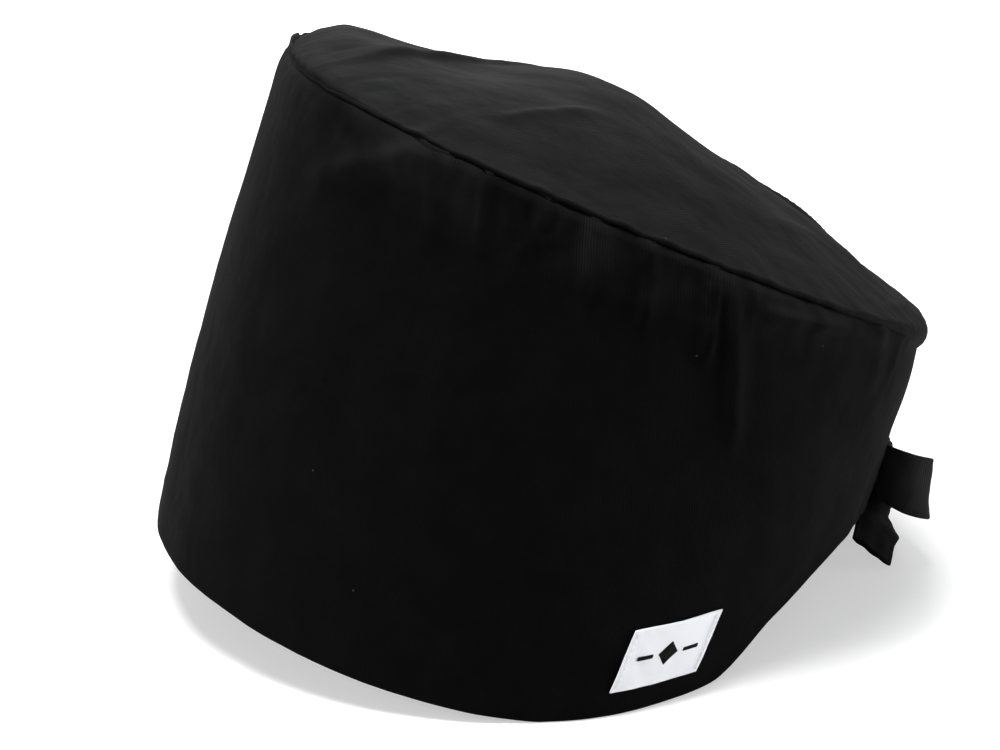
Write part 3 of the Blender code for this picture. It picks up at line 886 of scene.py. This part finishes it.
CROWN_COLUMNS = 420
CROWN_MEAN_RADIUS = 0.08
CROWN_RINGS = 94
CROWN_RING_CROWDING = 1.35
CROWN_TIP = 0.02
DOME = 0.0185
DOME_POWER = 1.05
EDGE_SLOPE = math.radians(24.0)
EDGE_RADIUS = 0.0005
EDGE_OVERHANG = -0.0001
EDGE_RISE = 0.0004
CROWN_FRONT_DROP = 0.0021
CROWN_FRONT_INSET = 0.0017
REAR_RADIUS = 0.0058
REAR_OVERHANG = 0.0044
REAR_DROP = 0.0059


def rear_roll_at(arc):
    """The rear roll's share, from a place along the seam."""
    return bell(np.minimum(arc, SEAM_ROUND - arc) / 0.05)


def edge_roll(angle):
    """The rolled edge's radius, how far it reaches past the seam, and how far it sags below it."""
    rear = bell(turned(angle, BACK) / 38.0)
    front = front_tuck(angle)
    radius = EDGE_RADIUS + REAR_RADIUS * rear
    drop = REAR_DROP * rear + CROWN_FRONT_DROP * front - seam_waver(angle, 25.0)
    return radius, EDGE_OVERHANG + REAR_OVERHANG * rear - CROWN_FRONT_INSET * front, drop


CROWN_FOLDS = [
    # start and end in the crown's plane (left, back), height, width, share of the lower side
    ((-0.056, 0.030), (0.010, 0.068), 0.0017, 0.0016, 1.5),
    ((0.024, -0.078), (-0.044, -0.010), 0.0014, 0.0022, 2.0),
    ((0.050, -0.046), (0.024, -0.012), 0.0007, 0.0030, 0.7),
    ((0.052, 0.022), (0.030, 0.050), 0.0005, 0.0040, 0.8),
    ((-0.052, -0.010), (-0.030, 0.026), 0.0010, 0.0030, 0.6),
    ((0.060, 0.058), (0.030, 0.078), 0.0006, 0.0024, 0.7),
    ((0.052, 0.066), (0.034, 0.074), 0.0004, 0.0018, 0.7),
]
CROWN_SWELLS = [
    # height, middle and spread front to back, then left to right, and how far in from the rim it fades
    (0.0031, -0.067, 0.010, -0.03, 0.05, 0.12),
    (0.0018, -0.075, 0.008, -0.02, 0.05, 0.05),
    (-0.0022, -0.036, 0.014, -0.03, 0.05, 0.0),
    (0.0034, -0.003, 0.0165, -0.02, 0.05, 0.12),
    (-0.0030, 0.036, 0.024, -0.02, 0.06, 0.12),
    (-0.0022, 0.071, 0.007, -0.01, 0.04, 0.12),
    (0.0021, 0.037, 0.012, -0.05, 0.045, 0.0),
    (-0.0021, 0.064, 0.011, -0.03, 0.045, 0.0),
]
CROWN_BUMPS = [
    # height, size, seed, octaves, how far in from the rim they fade
    (0.0010, 0.035, 21.3, 2, 0.2),
    (0.0003, 0.016, 27.3, 2, 0.1),
    (0.00015, 0.010, 31.1, 3, 0.0),
]
# The seam's puckers seen on the crown: shift along it, share of their height, width and reach
CROWN_GATHER_SHIFT = 0.004
CROWN_GATHER_SHARE = 0.35
CROWN_GATHER_REAR_LOSS = 0.2
CROWN_GATHER_WIDTH = 1.1
CROWN_GATHER_REACH = 0.55


def rim_fade(radius, reach):
    return smooth_step((1.0 - radius) / reach) if reach else 1.0


def crown_relief(x, y, radius, arc, points):
    """How far the crown stands off its plain dome."""
    relief = np.zeros(points.shape[:-1])
    for start, end, height, width, lower in CROWN_FOLDS:
        relief += fold(x, y, start, end, height, width, lower)
    for height, mid_y, spread_y, mid_x, spread_x, fade in CROWN_SWELLS:
        swell = height * bell((y - mid_y) / spread_y) * bell((x - mid_x) / spread_x)
        relief += swell * rim_fade(radius, fade)
    for height, size, seed, octaves, fade in CROWN_BUMPS:
        relief += height * bumps(points, size, seed, octaves) * rim_fade(radius, fade)
    inward = (1.0 - radius) * CROWN_MEAN_RADIUS
    front = bell((arc - SEAM_ROUND / 2) / 0.055)
    share = (CROWN_GATHER_SHARE - CROWN_GATHER_REAR_LOSS * rear_roll_at(arc)) * (1.0 - front)
    for centre, height, width, reach, _ in GATHERS:
        across = round_the_seam(arc, centre + CROWN_GATHER_SHIFT)
        shape = bell(across / (width * CROWN_GATHER_WIDTH))
        relief += share * height * shape * np.exp(-inward / (reach * CROWN_GATHER_REACH))
    return relief


def crown_points(angles, radii, lowered):
    spoke = crown_spoke(angles)
    length = np.linalg.norm(spoke, axis=-1)
    radius, overhang, drop = edge_roll(angles)
    reach = 1.0 + (overhang - radius * (1.0 - math.sin(EDGE_SLOPE))) / length
    inner = spoke[None] * (radii[:, None] * reach[None])[..., None]
    x = inner @ LEFTWARD
    y = inner @ CROWN_PLANE_Y
    rise = DOME * (1.0 - radii[:, None] ** 2) ** DOME_POWER
    rise = rise + (EDGE_RISE + radius * math.cos(EDGE_SLOPE) - drop)[None] * radii[:, None] ** 5
    base = CROWN_CENTRE + inner + CROWN_NORMAL * rise[..., None]
    arc = np.broadcast_to(seam_arc(angles), x.shape)
    shape = crown_relief(x, y, np.broadcast_to(radii[:, None], x.shape), arc, base)
    return base + CROWN_NORMAL * (shape - lowered)[..., None]


# The edge roll's turns from its outermost point, then the flange as (below the seam, depth inward)
ROLL_TURNS = np.radians((50.0, 34.0, 18.0, 2.0, -16.0, -36.0, -58.0, -80.0))
FLANGE_ROWS = [(0.0002, 0.0016), (0.0012, 0.0018), (0.004, 0.0018), (SEAM_ALLOWANCE, 0.0018)]


def crown():
    """The domed oval, rolled over at its edge, its seam allowance turned down inside the band."""
    angles = around(CROWN_COLUMNS)
    steps = np.linspace(0.0, 1.0, CROWN_RINGS)
    radii = CROWN_TIP + (1.0 - CROWN_TIP) * (1.0 - (1.0 - steps) ** CROWN_RING_CROWDING)
    top = crown_points(angles, radii, 0.0)
    radius = edge_roll(angles)[0][:, None]
    out = unit(crown_spoke(angles))
    tangent = math.sin(EDGE_SLOPE) * out + math.cos(EDGE_SLOPE) * CROWN_NORMAL
    centre = top[-1] - tangent * radius
    rows = []
    for turn in ROLL_TURNS:
        rows.append(centre + radius * (math.cos(turn) * out + math.sin(turn) * CROWN_NORMAL))
    rows += [wall(angles, 0.0, offset, depth) for offset, depth in FLANGE_ROWS]
    points = np.concatenate((top, np.array(rows)))
    flat = points - CROWN_CENTRE
    corners = np.stack((flat @ LEFTWARD, flat @ CROWN_PLANE_Y), axis=-1)
    cloth_disc(points, corners, "crown_cloth", CROWN_LOOK, FLANGE_CLOTH, "crown_twill", "crown_panel")


LINING_GAP = 0.0008


def crown_lining():
    radii = np.concatenate((np.linspace(0.03, 0.955, 40), [0.965]))
    points = crown_points(around(180), radii, FLANGE_CLOTH + LINING_GAP)
    name = "crown_lining"
    cloth_disc(points, points[..., :2], name + "_cloth", LINING_LOOK, LINING_CLOTH, "lining", name)


# --- inside layers


def band_lining():
    angles = around(240)
    shares = np.linspace(0.0, 1.0, 48)
    offsets = (1.0 - shares) * 0.003 - shares * 0.0015
    points = wall(angles[None], shares[:, None], offsets[:, None], LINING_DEPTH)
    ease = 0.0003 * bumps(points, 0.012, 41.0)
    points = points - outward(angles)[None] * (ease + 0.0003)[..., None]
    shape = Shape()
    shape.grid(points, closed=True)
    cloth_piece(shape, "band_lining_cloth", LINING_LOOK, LINING_CLOTH, "lining", "band_lining")


PAD_LOW = 0.0015
PAD_PUCKER_PITCH = 0.006


def pad_outline(height, thickness, swell):
    """A pad's cross-section: up its back, over its top edge and down its swollen face."""
    rise = height - PAD_LOW
    outline = [(-height + rise * i / 8, 0.0) for i in range(9)]
    for i in range(1, 6):
        turn = math.pi * i / 6
        top = -PAD_LOW + 0.3 * thickness * math.sin(turn)
        outline.append((top, thickness * (1.0 - math.cos(turn)) / 2))
    for i in range(17):
        share = i / 16
        outline.append((-PAD_LOW - rise * share, thickness + swell * math.sin(math.pi * share) ** 0.6))
    return np.array(outline).T


def pad(name, look, angles, height, inner_depth, swell, pucker):
    """A band of cloth sewn along its top edge inside the cap, as a closed pad."""
    thickness = inner_depth - INNER_BAND_DEPTH
    offsets, depths = pad_outline(height, thickness, swell)
    points = wall(angles[:, None], 1.0, offsets[None], INNER_BAND_DEPTH + depths[None])
    share = np.clip((-offsets - PAD_LOW) / (height - PAD_LOW), 0.0, 1.0)[None]
    inside = (depths > thickness * 0.8)[None]
    phase = seam_arc(angles)[:, None] * 2.0 * math.pi / PAD_PUCKER_PITCH
    drawn = np.sin(phase + 3.0 * bumps(points, 0.02, 51.0)) * bell((1.0 - share) / 0.25)
    relief = pucker * drawn + 0.4 * pucker * bumps(points, 0.008, 61.0, 3)
    points = points - outward(angles)[:, None] * (inside * relief)[..., None]
    shape = Shape()
    shape.tube(points, cloth_map(points, True))
    return shape.piece(name, look)


def pads():
    angles = np.linspace(-SWEATBAND_ANGLE, SWEATBAND_ANGLE, 300)
    sizes = (SWEATBAND_HEIGHT, SWEATBAND_INNER_DEPTH, 0.0007, 0.00025)
    place(pad("sweatband_pad", SWEATBAND_LOOK, angles, *sizes), "cap", "sweatband", "sweatband")
    angles = np.linspace(CASING_START_ANGLE, 360.0 - CASING_START_ANGLE, 220)
    sizes = (CASING_HEIGHT, CASING_INNER_DEPTH, 0.0005, 0.00035)
    place(pad("casing_cloth", BAND_LOOK, angles, *sizes), "cap", "black_twill", "back_casing")


# --- stitches


STITCH_RINGS = [
    # share of the length, size and rise as shares of the radius
    (0.0, 0.35, -0.9),
    (0.12, 0.85, -0.1),
    (0.5, 1.0, 0.35),
    (0.88, 0.85, -0.1),
    (1.0, 0.35, -0.9),
]
STITCH_TURNS = np.arange(6) * math.pi / 3


def stitch(shape, start, end, up, radius, slot=0):
    """One stitch: a plump cord that dips into the cloth at both ends."""
    along = end - start
    side = unit(np.cross(along, up))
    hexagon = np.cos(STITCH_TURNS)[:, None] * side + np.sin(STITCH_TURNS)[:, None] * up
    rings = []
    for share, size, rise in STITCH_RINGS:
        rings.append(start + along * share + radius * (up * rise + size * hexagon))
    points = np.array(rings)
    shape.tube(points[:, ::-1], cloth_map(points, True), (0.0, 0.0), slot)


def stitch_run(shape, points, ups, pitch, gap, radius, slot=0):
    """Stitches end to end along a path."""
    arcs = arc_lengths(points)
    count = max(int(arcs[-1] / pitch), 1)
    for i in range(count):
        ends = []
        for at in (i * arcs[-1] / count + gap / 2, (i + 1) * arcs[-1] / count - gap / 2):
            ends.append(np.array([np.interp(at, arcs, points[:, axis]) for axis in range(3)]))
        k = min(int((i + 0.5) / count * len(ups)), len(ups) - 1)
        stitch(shape, *ends, ups[k], radius, slot)


INSIDE_PITCH = 0.0027
INSIDE_THREAD = 0.0002
INSIDE_RAISED = 0.00032
INSIDE_BELOW_EDGE = 0.0022


def inside_stitches(name, start, end, count, height, depth):
    """The row of stitches along a pad's top edge."""
    angles = np.linspace(start + 0.5, end - 0.5, count)
    points = wall(angles, 1.0, INSIDE_BELOW_EDGE - height, depth + INSIDE_RAISED)
    shape = Shape()
    stitch_run(shape, points, -outward(angles), INSIDE_PITCH, INSIDE_PITCH * 0.18, INSIDE_THREAD)
    place(shape.piece(name + "_stitches", THREAD_LOOK), "cap", "thread", name + "_stitching")


SATIN_SIDE_STITCHES = 26
SATIN_END_STITCHES = 9
SATIN_OVERLAP = 0.0001
SATIN_SIDE_REACH = 0.0014
SATIN_END_REACH = 0.0015


def buttonhole_stitches(side):
    """Close satin stitches over the edges of one buttonhole."""
    centre, across, up, out = exit_frame(side)
    half_width = BUTTONHOLE_WIDTH / 2
    half_height = BUTTONHOLE_HEIGHT / 2
    shape = Shape()
    for edge in (-1, 1):
        for i in range(SATIN_SIDE_STITCHES):
            middle = centre + up * (2.0 * (i + 0.5) / SATIN_SIDE_STITCHES - 1.0) * half_height
            inner = middle + across * edge * (half_width - SATIN_OVERLAP) + out * 0.0001
            outer = middle + across * edge * (half_width + SATIN_SIDE_REACH) + out * 0.0002
            stitch(shape, inner, outer, out, 0.00028)
        for share in np.linspace(-1.0, 1.0, SATIN_END_STITCHES):
            middle = centre + across * share * (half_width + 0.0012) + out * 0.0002
            inner = middle + up * edge * (half_height - SATIN_OVERLAP)
            outer = middle + up * edge * (half_height + SATIN_END_REACH)
            stitch(shape, inner, outer, out, 0.00030)
    name = SIDE_NAMES[side]
    made = shape.piece("buttonhole_stitches_" + name, THREAD_LOOK)
    place(made, "cap", "thread", "buttonhole_stitching_" + name)


# --- ties and bow


CATMULL_ROM = 0.5 * np.array(((0, -1, 2, -1), (2, 0, -5, 3), (0, 1, 4, -3), (0, 0, -1, 1)))


def curve_through(points, steps=10):
    """Points along a Catmull-Rom curve through the given rows of numbers."""
    points = np.array(points, float)
    ends = np.concatenate((points[:1], points, points[-1:]))
    curve = []
    for k in range(1, len(ends) - 2):
        for t in np.arange(steps) / steps:
            weights = CATMULL_ROM @ (1.0, t, t * t, t**3)
            curve.append(weights @ ends[k - 1 : k + 3])
    return np.array((*curve, points[-1]))


STRIP_ACROSS = 21
STRIP_SEAM = 0.80
STRIP_SEAM_DIP = 0.00016
STRIP_CALM_START = 0.004
SLANT_SHARES = (0.5, 0.8, 1.0)
STRIP_STITCH = (0.0024, 0.0005, 0.00016)  # pitch, gap and thread radius


def strip_profile():
    """Shares across a strip, crowded at its edges, and half its thickness at each."""
    share = np.linspace(-1.0, 1.0, STRIP_ACROSS)
    share = np.sign(share) * (1.0 - (1.0 - np.abs(share)) ** 1.5)
    body = TIE_THICKNESS / 2 * np.sqrt(np.maximum(1.0 - np.abs(share) ** 5, 0.0))
    return share, body - STRIP_SEAM_DIP * bell((np.abs(share) - STRIP_SEAM) / 0.05)


def strip_wave(places, seed):
    return 0.0005 * bumps(places, 0.010, seed) + 0.00012 * bumps(places, 0.003, seed + 5.0)


def strip(name, rows, seed, pleat, slant=0.0, look=TIE_LOOK):
    """A sewn tie strip; each row is its centre, width direction and width.

    Pleats fold it where it is narrow, and slant is how far its end is cut askew.
    """
    curve = curve_through([(*centre, *direction, width) for centre, direction, width in rows])
    centres, across, widths = curve[:, :3], curve[:, 3:6], curve[:, 6]
    along = unit(np.gradient(centres, axis=0))
    across = unit(across - along * np.sum(across * along, axis=-1, keepdims=True))
    face = np.cross(along, across)
    share, half = strip_profile()
    arcs = arc_lengths(centres)
    narrow = np.clip(1.0 - widths / TIE_WIDTH, 0.0, 1.0)
    places = centres[:, None] + across[:, None] * (share[None, :, None] * widths[:, None, None] / 2)
    wave = strip_wave(places, seed) * np.minimum(1.0, arcs / STRIP_CALM_START)[:, None]
    wave = wave + pleat * narrow[:, None] * np.cos(share[None] * 2.6 * math.pi + 0.4)
    askew = np.zeros(len(curve))
    askew[-3:] = np.array(SLANT_SHARES) * slant
    places = places + along[:, None] * (-askew[:, None] * share[None])[..., None]
    upper = places + face[:, None] * (wave + half[None])[..., None]
    lower = places + face[:, None] * (wave - half[None])[..., None]
    ring = np.concatenate((upper, lower[:, -2:0:-1]), axis=1)
    round_ring = np.concatenate((share, share[-2:0:-1], share[:1])) * TIE_WIDTH / 2
    corners = np.stack(np.broadcast_arrays(arcs[:, None], round_ring[None]), axis=-1)
    shape = Shape()
    shape.tube(ring, corners)
    for edge in (-STRIP_SEAM, STRIP_SEAM):
        k = int(np.argmin(np.abs(share - edge)))
        for sign in (1.0, -1.0):
            line = places[:, k] + face * (wave[:, k] + sign * half[k])[:, None]
            stitch_run(shape, line[3:-3], sign * face[3:-3], *STRIP_STITCH, slot=1)
    made = shape.piece(name, look, THREAD_LOOK)
    turn_outward(made)
    return made


KNOT_LOW, KNOT_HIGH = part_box("bow_knot")
KNOT = np.array((KNOT_LOW + KNOT_HIGH) / 2)
KNOT_RADIUS = (KNOT_HIGH.x - KNOT_LOW.x) / 2
KNOT_HEIGHT = KNOT_HIGH.z - KNOT_LOW.z
TAIL_PIVOT = np.array((0.0, KNOT[1], KNOT_LOW.z - 0.0004))
KNOT_GAP = 0.0004
UPRIGHT = (0.0, 0.0, 1.0)


def tie(side):
    """A tie from its buttonhole to the front of the knot."""
    centre, _, up, out = exit_frame(side)
    name = SIDE_NAMES[side]
    start = centre - out * 0.0016
    front = KNOT[1] - KNOT_RADIUS - TIE_THICKNESS / 2 - KNOT_GAP
    rows = [
        (start, up, TIE_EXIT_WIDTH),
        (start + out * 0.0042, up, TIE_EXIT_WIDTH),
        ((side * 0.0118, front + 0.0002, start[2] - 0.0018), UPRIGHT, 0.0110),
        ((side * 0.0075, front, KNOT[2] + 0.0030), UPRIGHT, 0.0085),
        ((side * 0.0016, front + 0.0004, KNOT[2] + 0.0010), UPRIGHT, 0.0070),
    ]
    made = strip("tie_strip_" + name, rows, 71.0 + side, 0.0006)
    place(made, "cap", "tie_twill", "tie_" + name)


LOOP_OUTLINE = [
    # out from the knot, behind it, above it, width
    (0.0028, -0.0010, 0.0004, 0.0068),
    (0.0055, -0.0017, 0.0008, 0.0080),
    (0.0085, -0.0022, 0.0018, 0.0098),
    (0.0125, -0.0028, 0.0023, 0.0136),
    (0.0165, -0.0038, 0.0045, 0.0150),
    (0.0215, -0.0064, 0.0070, TIE_WIDTH),
    (0.0262, -0.0092, 0.0086, TIE_WIDTH),
    (0.0302, -0.0072, 0.0082, TIE_WIDTH),
    (0.0319, -0.0026, 0.0064, TIE_WIDTH),
    (0.0292, 0.0019, 0.0042, TIE_WIDTH),
    (0.0215, 0.0032, 0.0018, TIE_WIDTH),
    (0.0130, 0.0031, 0.0006, 0.0132),
    (0.0055, 0.0016, 0.0004, 0.0080),
    (0.0028, 0.0010, 0.0004, 0.0068),
]


def bow_loop(side):
    """A loop of the bow, out from one side of the knot."""
    name = SIDE_NAMES[side]
    rows = [(KNOT + np.array((side * x, y, z)), UPRIGHT, width) for x, y, z, width in LOOP_OUTLINE]
    made = strip("bow_loop_cloth_" + name, rows, 81.0 + side, 0.0009)
    bend(made, "bow_loop_" + name)


TAIL_OUTLINE = [
    # out from the knot, behind it, above the pivot, width direction, width
    (0.0020, 0.0000, 0.0006, (1.00, 0.00, 0.00), 0.0056),
    (0.0040, 0.0000, -0.0010, (1.00, 0.00, 0.00), 0.0062),
    (0.0066, -0.0006, -0.0030, (0.92, -0.30, 0.22), 0.0076),
    (0.0122, -0.0038, -0.0032, (0.50, -0.72, 0.46), 0.0126),
    (0.0205, -0.0082, -0.0027, (0.25, -0.85, 0.45), 0.0128),
    (0.0285, -0.0122, -0.0054, (0.10, -0.90, 0.42), 0.0122),
]


def tie_tail(side):
    name = SIDE_NAMES[side]
    rows = []
    for x, y, z, (i, j, k), width in TAIL_OUTLINE:
        rows.append((TAIL_PIVOT + np.array((side * x, y, z)), (side * i, j, k), width))
    # The tail takes the tie's twill with painted shade
    made = strip("tie_tail_cloth_" + name, rows, 91.0 + side, 0.0006, slant=0.0006, look=TIE_SHADED_LOOK)
    place(made, "tie_tail_" + name, "tie_twill", "tie_tail_" + name)


KNOT_SQUARENESS = 2.5
KNOT_PLEAT = 0.00030
KNOT_CREASE = 0.00018


def knot():
    """The cloth wrapped round the middle of the bow, with pleats that follow the wrap."""
    rows, columns = 40, 56
    latitude = np.linspace(0.5, -0.5, rows) * math.pi * 0.985
    longitude = np.arange(columns) * 2.0 * math.pi / columns
    lat, lon = np.meshgrid(latitude, longitude, indexing="ij")
    flat = signed_power(np.cos(lat), 2.6)
    x = flat * signed_power(np.cos(lon), KNOT_SQUARENESS)
    y = flat * signed_power(np.sin(lon), KNOT_SQUARENESS)
    z = signed_power(np.sin(lat), KNOT_SQUARENESS)
    twist = x + 0.35 * z * np.sign(y)
    pleats = np.cos(twist * 7.5 + 0.6) * (1.0 - np.abs(x) ** 4)
    size = vectors(x * KNOT_RADIUS, y * KNOT_RADIUS, z * KNOT_HEIGHT / 2)
    size = size * 0.93 + unit(size + 1e-9) * (KNOT_PLEAT * pleats)[..., None]
    points = KNOT + size
    points = points + unit(size) * (KNOT_CREASE * bumps(points, 0.003, 101.0))[..., None]
    shape = Shape()
    first = shape.grid(points, closed=True)
    shape.close_ends(first, points, np.zeros((rows, columns + 1, 2)))
    made = shape.piece("bow_knot_cloth", TIE_LOOK)
    turn_outward(made)
    place(made, "cap", "tie_twill", "bow_knot")


# --- labels


def label_angle(across, up=0.5):
    width = LABEL_END_ANGLE - LABEL_START_ANGLE
    return LABEL_START_ANGLE + width * across + LABEL_LEAN * (up - 0.5)


def label_place(across, up, raised):
    """A point on the side label: shares of its width and height, and a height above the band."""
    angle = label_angle(across, up)
    return wall(angle, 1.0, -LABEL_ABOVE_HEM - LABEL_HEIGHT * up, -raised)


LABEL_RAISED = 0.00075
LABEL_ENDS_RAISED = 0.00030
LABEL_CLOTH = 0.0004
LABEL_STITCH = (0.0014, 0.0003, 0.00012)  # pitch, gap and thread radius


def side_label():
    """A woven label with its ends folded under, sewn down at both ends."""
    across, up = np.meshgrid(np.linspace(0.0, 1.0, 61), np.linspace(1.0, 0.0, 37))
    raised = LABEL_RAISED + LABEL_ENDS_RAISED * np.exp(-np.minimum(across, 1.0 - across) / 0.06)
    lift = 0.00018 * bumps(label_place(across, up, raised), 0.006, 111.0)
    shape = Shape()
    shape.grid(label_place(across, up, raised + lift))
    cloth_piece(shape, "side_label_cloth", LABEL_LOOK, LABEL_CLOTH, "label", "side_label")


def label_stitches():
    """The stitches along the label's two ends."""
    shape = Shape()
    up = np.linspace(0.05, 0.95, 40)
    for across in (0.045, 0.955):
        points = label_place(np.full(40, across), up, 0.00112)
        out = outward(np.full(40, label_angle(across)))
        stitch_run(shape, points, out, *LABEL_STITCH)
    place(shape.piece("label_stitches", WHITE_THREAD_LOOK), "cap", "thread", "label_stitching")


MOTIF_RAISED = 0.00082
DIAMOND_STITCHES = 34
BAR_STITCHES = 22
# Shares of the label's width or height
DIAMOND_WIDTH = 0.20
DIAMOND_HALF_HEIGHT = 0.20
BAR_CENTRES = (0.24, 0.76)
BAR_WIDTH = 0.16
BAR_HALF_HEIGHT = 0.035


def motif_stitch(shape, across, half_height):
    """An upright stitch at half the label's height."""
    across = np.array(across)
    start, end = (label_place(across, 0.5 + rise, MOTIF_RAISED) for rise in (-half_height, half_height))
    stitch(shape, start, end, outward(label_angle(across)), 0.00020)


def label_motif():
    """A plain woven diamond between two bars."""
    shape = Shape()
    for i in range(DIAMOND_STITCHES):
        share = (i + 0.5) / DIAMOND_STITCHES
        half = DIAMOND_HALF_HEIGHT * (1.0 - abs(2.0 * share - 1.0)) + 0.008
        motif_stitch(shape, 0.5 + (share - 0.5) * DIAMOND_WIDTH, half)
    for centre in BAR_CENTRES:
        for share in np.linspace(-0.5, 0.5, BAR_STITCHES):
            motif_stitch(shape, centre + share * BAR_WIDTH, BAR_HALF_HEIGHT)
    place(shape.piece("label_motif", THREAD_LOOK), "cap", "thread")


CARE_LABEL_CLOTH = 0.0003
CARE_LABEL_CURL = 0.0005


def care_label():
    """A blank label sewn inside the back by its top edge."""
    low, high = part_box("care_label")
    half = (high.x - low.x) / 2
    top = np.array((0.0, high.y, high.z - 0.0002))
    bottom = np.array((0.0, low.y, low.z + 0.0002))
    across, down = np.meshgrid(np.linspace(-1.0, 1.0, 41), np.linspace(0.0, 1.0, 27))
    line = bottom - top
    face = unit(np.cross(line, LEFTWARD))
    curl = CARE_LABEL_CURL * down**2 * (np.cos(across * 2.4) - 0.4)
    points = top + line * down[..., None] - face * curl[..., None]
    points = points + across[..., None] * half * LEFTWARD
    shape = Shape()
    shape.grid(points)
    made = shape.piece("care_label_cloth", LABEL_LOOK)
    thicken(made, CARE_LABEL_CLOTH, 0.0)
    apply_modifiers(made)
    bend(made, "care_label")


# --- carried-over CAD nodes

KEPT_NODES = {
    "band_stiffener": FELT_LOOK,
    "back_elastic": ELASTIC_LOOK,
    "crown_seam_stitching": THREAD_LOOK,
    "back_seam_stitching": THREAD_LOOK,
}


def finish_nodes():
    """Gives the hidden CAD pieces that stay their own fabric."""
    for name, look in KEPT_NODES.items():
        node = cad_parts[name]
        node.data.materials.clear()
        node.data.materials.append(look)


# --- stage

WHITE = (1.0, 1.0, 1.0)
FLOOR_HALF = 3.0


def floor_look():
    """Pale grey, glowing towards white far from the cap, and clear from below."""
    look = Look("pale_floor")
    tone = look.span(look.clouds(0.4), 0.0, 1.0)
    shade = look.blend(tone, (0.60, 0.60, 0.605), (0.63, 0.63, 0.635))
    seen = look.node("ShaderNodeLightPath").outputs["Is Camera Ray"]
    reach = look.node("ShaderNodeVectorMath", {0: look.object_place}, operation="LENGTH")
    glow = look.times(seen, look.span(reach.outputs["Value"], 0.30, 0.90, 0.47, 1.0))
    look.finish(shade, 0.8, specular_ior_level=0.1, emission_color=WHITE, emission_strength=glow)
    clear = look.node("ShaderNodeBsdfTransparent").outputs[0]
    behind = look.node("ShaderNodeNewGeometry").outputs["Backfacing"]
    sides = {0: behind, 1: look.shader.outputs[0], 2: clear}
    mixed = look.node("ShaderNodeMixShader", sides).outputs[0]
    look.tree.links.new(mixed, look.tree.nodes["Material Output"].inputs[0])
    return look.material


def floor():
    mesh = bpy.data.meshes.new("floor")
    corners = [(x * FLOOR_HALF, y * FLOOR_HALF, 0.0) for x, y in ((-1, -1), (1, -1), (1, 1), (-1, 1))]
    mesh.from_pydata(corners, [], [(0, 1, 2, 3)])
    mesh.materials.append(floor_look())
    add_to_scene("floor", mesh)


LIGHT_AIM = (0.0, 0.0, 0.06)
LIGHTS = [
    # name, place, aim, size, power, colour
    ("overhead", (0.0, -0.15, 1.2), LIGHT_AIM, (0.5, 0.5), 21.0, WHITE),
    ("front_side", (0.40, -1.25, 0.55), LIGHT_AIM, (0.4, 0.6), 6.0, (1.0, 0.99, 0.97)),
    ("rear_side", (0.50, 1.2, 0.18), LIGHT_AIM, (0.6, 0.3), 6.8, (0.97, 0.98, 1.0)),
    ("far_side", (-1.1, 0.15, 0.52), LIGHT_AIM, (0.8, 0.5), 6.5, (0.98, 0.99, 1.0)),
    ("table_bounce", (0.13, 0.26, 0.004), (0.06, 0.06, 0.010), (0.2, 0.03), 0.24, WHITE),
]
WORLD_LIGHT = 0.30


def lights():
    for name, position, aim, size, power, colour in LIGHTS:
        data = bpy.data.lights.new(name, "AREA")
        data.shape = "RECTANGLE"
        data.size, data.size_y = size
        data.energy = power
        data.color = colour
        light = add_to_scene(name, data)
        light.location = position
        light.rotation_euler = (Vector(aim) - Vector(position)).to_track_quat("-Z", "Y").to_euler()
        light.visible_camera = False


def backdrop():
    """White behind the cap for the camera, and a dimmer white light for everything else."""
    world = bpy.data.worlds.new("studio")
    bpy.context.scene.world = world
    world.use_nodes = True
    tree = world.node_tree
    back = tree.nodes["Background"]
    seen = tree.nodes.new("ShaderNodeBackground")
    for node, strength in ((seen, 1.0), (back, WORLD_LIGHT)):
        node.inputs[0].default_value = (*WHITE, 1.0)
        node.inputs[1].default_value = strength
    path = tree.nodes.new("ShaderNodeLightPath")
    mix = tree.nodes.new("ShaderNodeMixShader")
    sources = (path.outputs["Is Camera Ray"], back.outputs[0], seen.outputs[0])
    for socket, source in zip(mix.inputs, sources):
        tree.links.new(source, socket)
    tree.links.new(mix.outputs[0], tree.nodes["World Output"].inputs[0])
    bpy.context.scene.view_settings.view_transform = "Standard"


CAMERA_AZIMUTH = 80.20
CAMERA_ELEVATION = 17.30
CAMERA_ROLL = -1.06
CAMERA_DISTANCE = 0.6087
CAMERA_AIM = Vector((0.0, -0.0092, 0.0500))
CAMERA_LENS = 86.26


def camera():
    data = bpy.data.cameras.new("camera")
    data.lens = CAMERA_LENS
    data.sensor_width = 36.0
    made = add_to_scene("camera", data)
    azimuth = math.radians(CAMERA_AZIMUTH)
    elevation = math.radians(CAMERA_ELEVATION)
    level = math.cos(elevation)
    away = Vector((math.sin(azimuth) * level, -math.cos(azimuth) * level, math.sin(elevation)))
    made.location = CAMERA_AIM + away * CAMERA_DISTANCE
    turn = (-away).to_track_quat("-Z", "Y")
    made.rotation_mode = "QUATERNION"
    made.rotation_quaternion = turn @ Quaternion((0.0, 0.0, 1.0), math.radians(CAMERA_ROLL))
    bpy.context.scene.camera = made


# --- build

band()
crown()
crown_lining()
band_lining()
pads()
sweatband_ends = (-SWEATBAND_ANGLE, SWEATBAND_ANGLE)
casing_ends = (CASING_START_ANGLE, 360.0 - CASING_START_ANGLE)
inside_stitches("sweatband", *sweatband_ends, 400, SWEATBAND_HEIGHT, SWEATBAND_INNER_DEPTH)
inside_stitches("casing", *casing_ends, 300, CASING_HEIGHT, CASING_INNER_DEPTH)
for side in SIDE_NAMES:
    buttonhole_stitches(side)
    tie(side)
    bow_loop(side)
    tie_tail(side)
knot()
side_label()
label_stitches()
label_motif()
care_label()
finish_nodes()
floor()
lights()
backdrop()
camera()
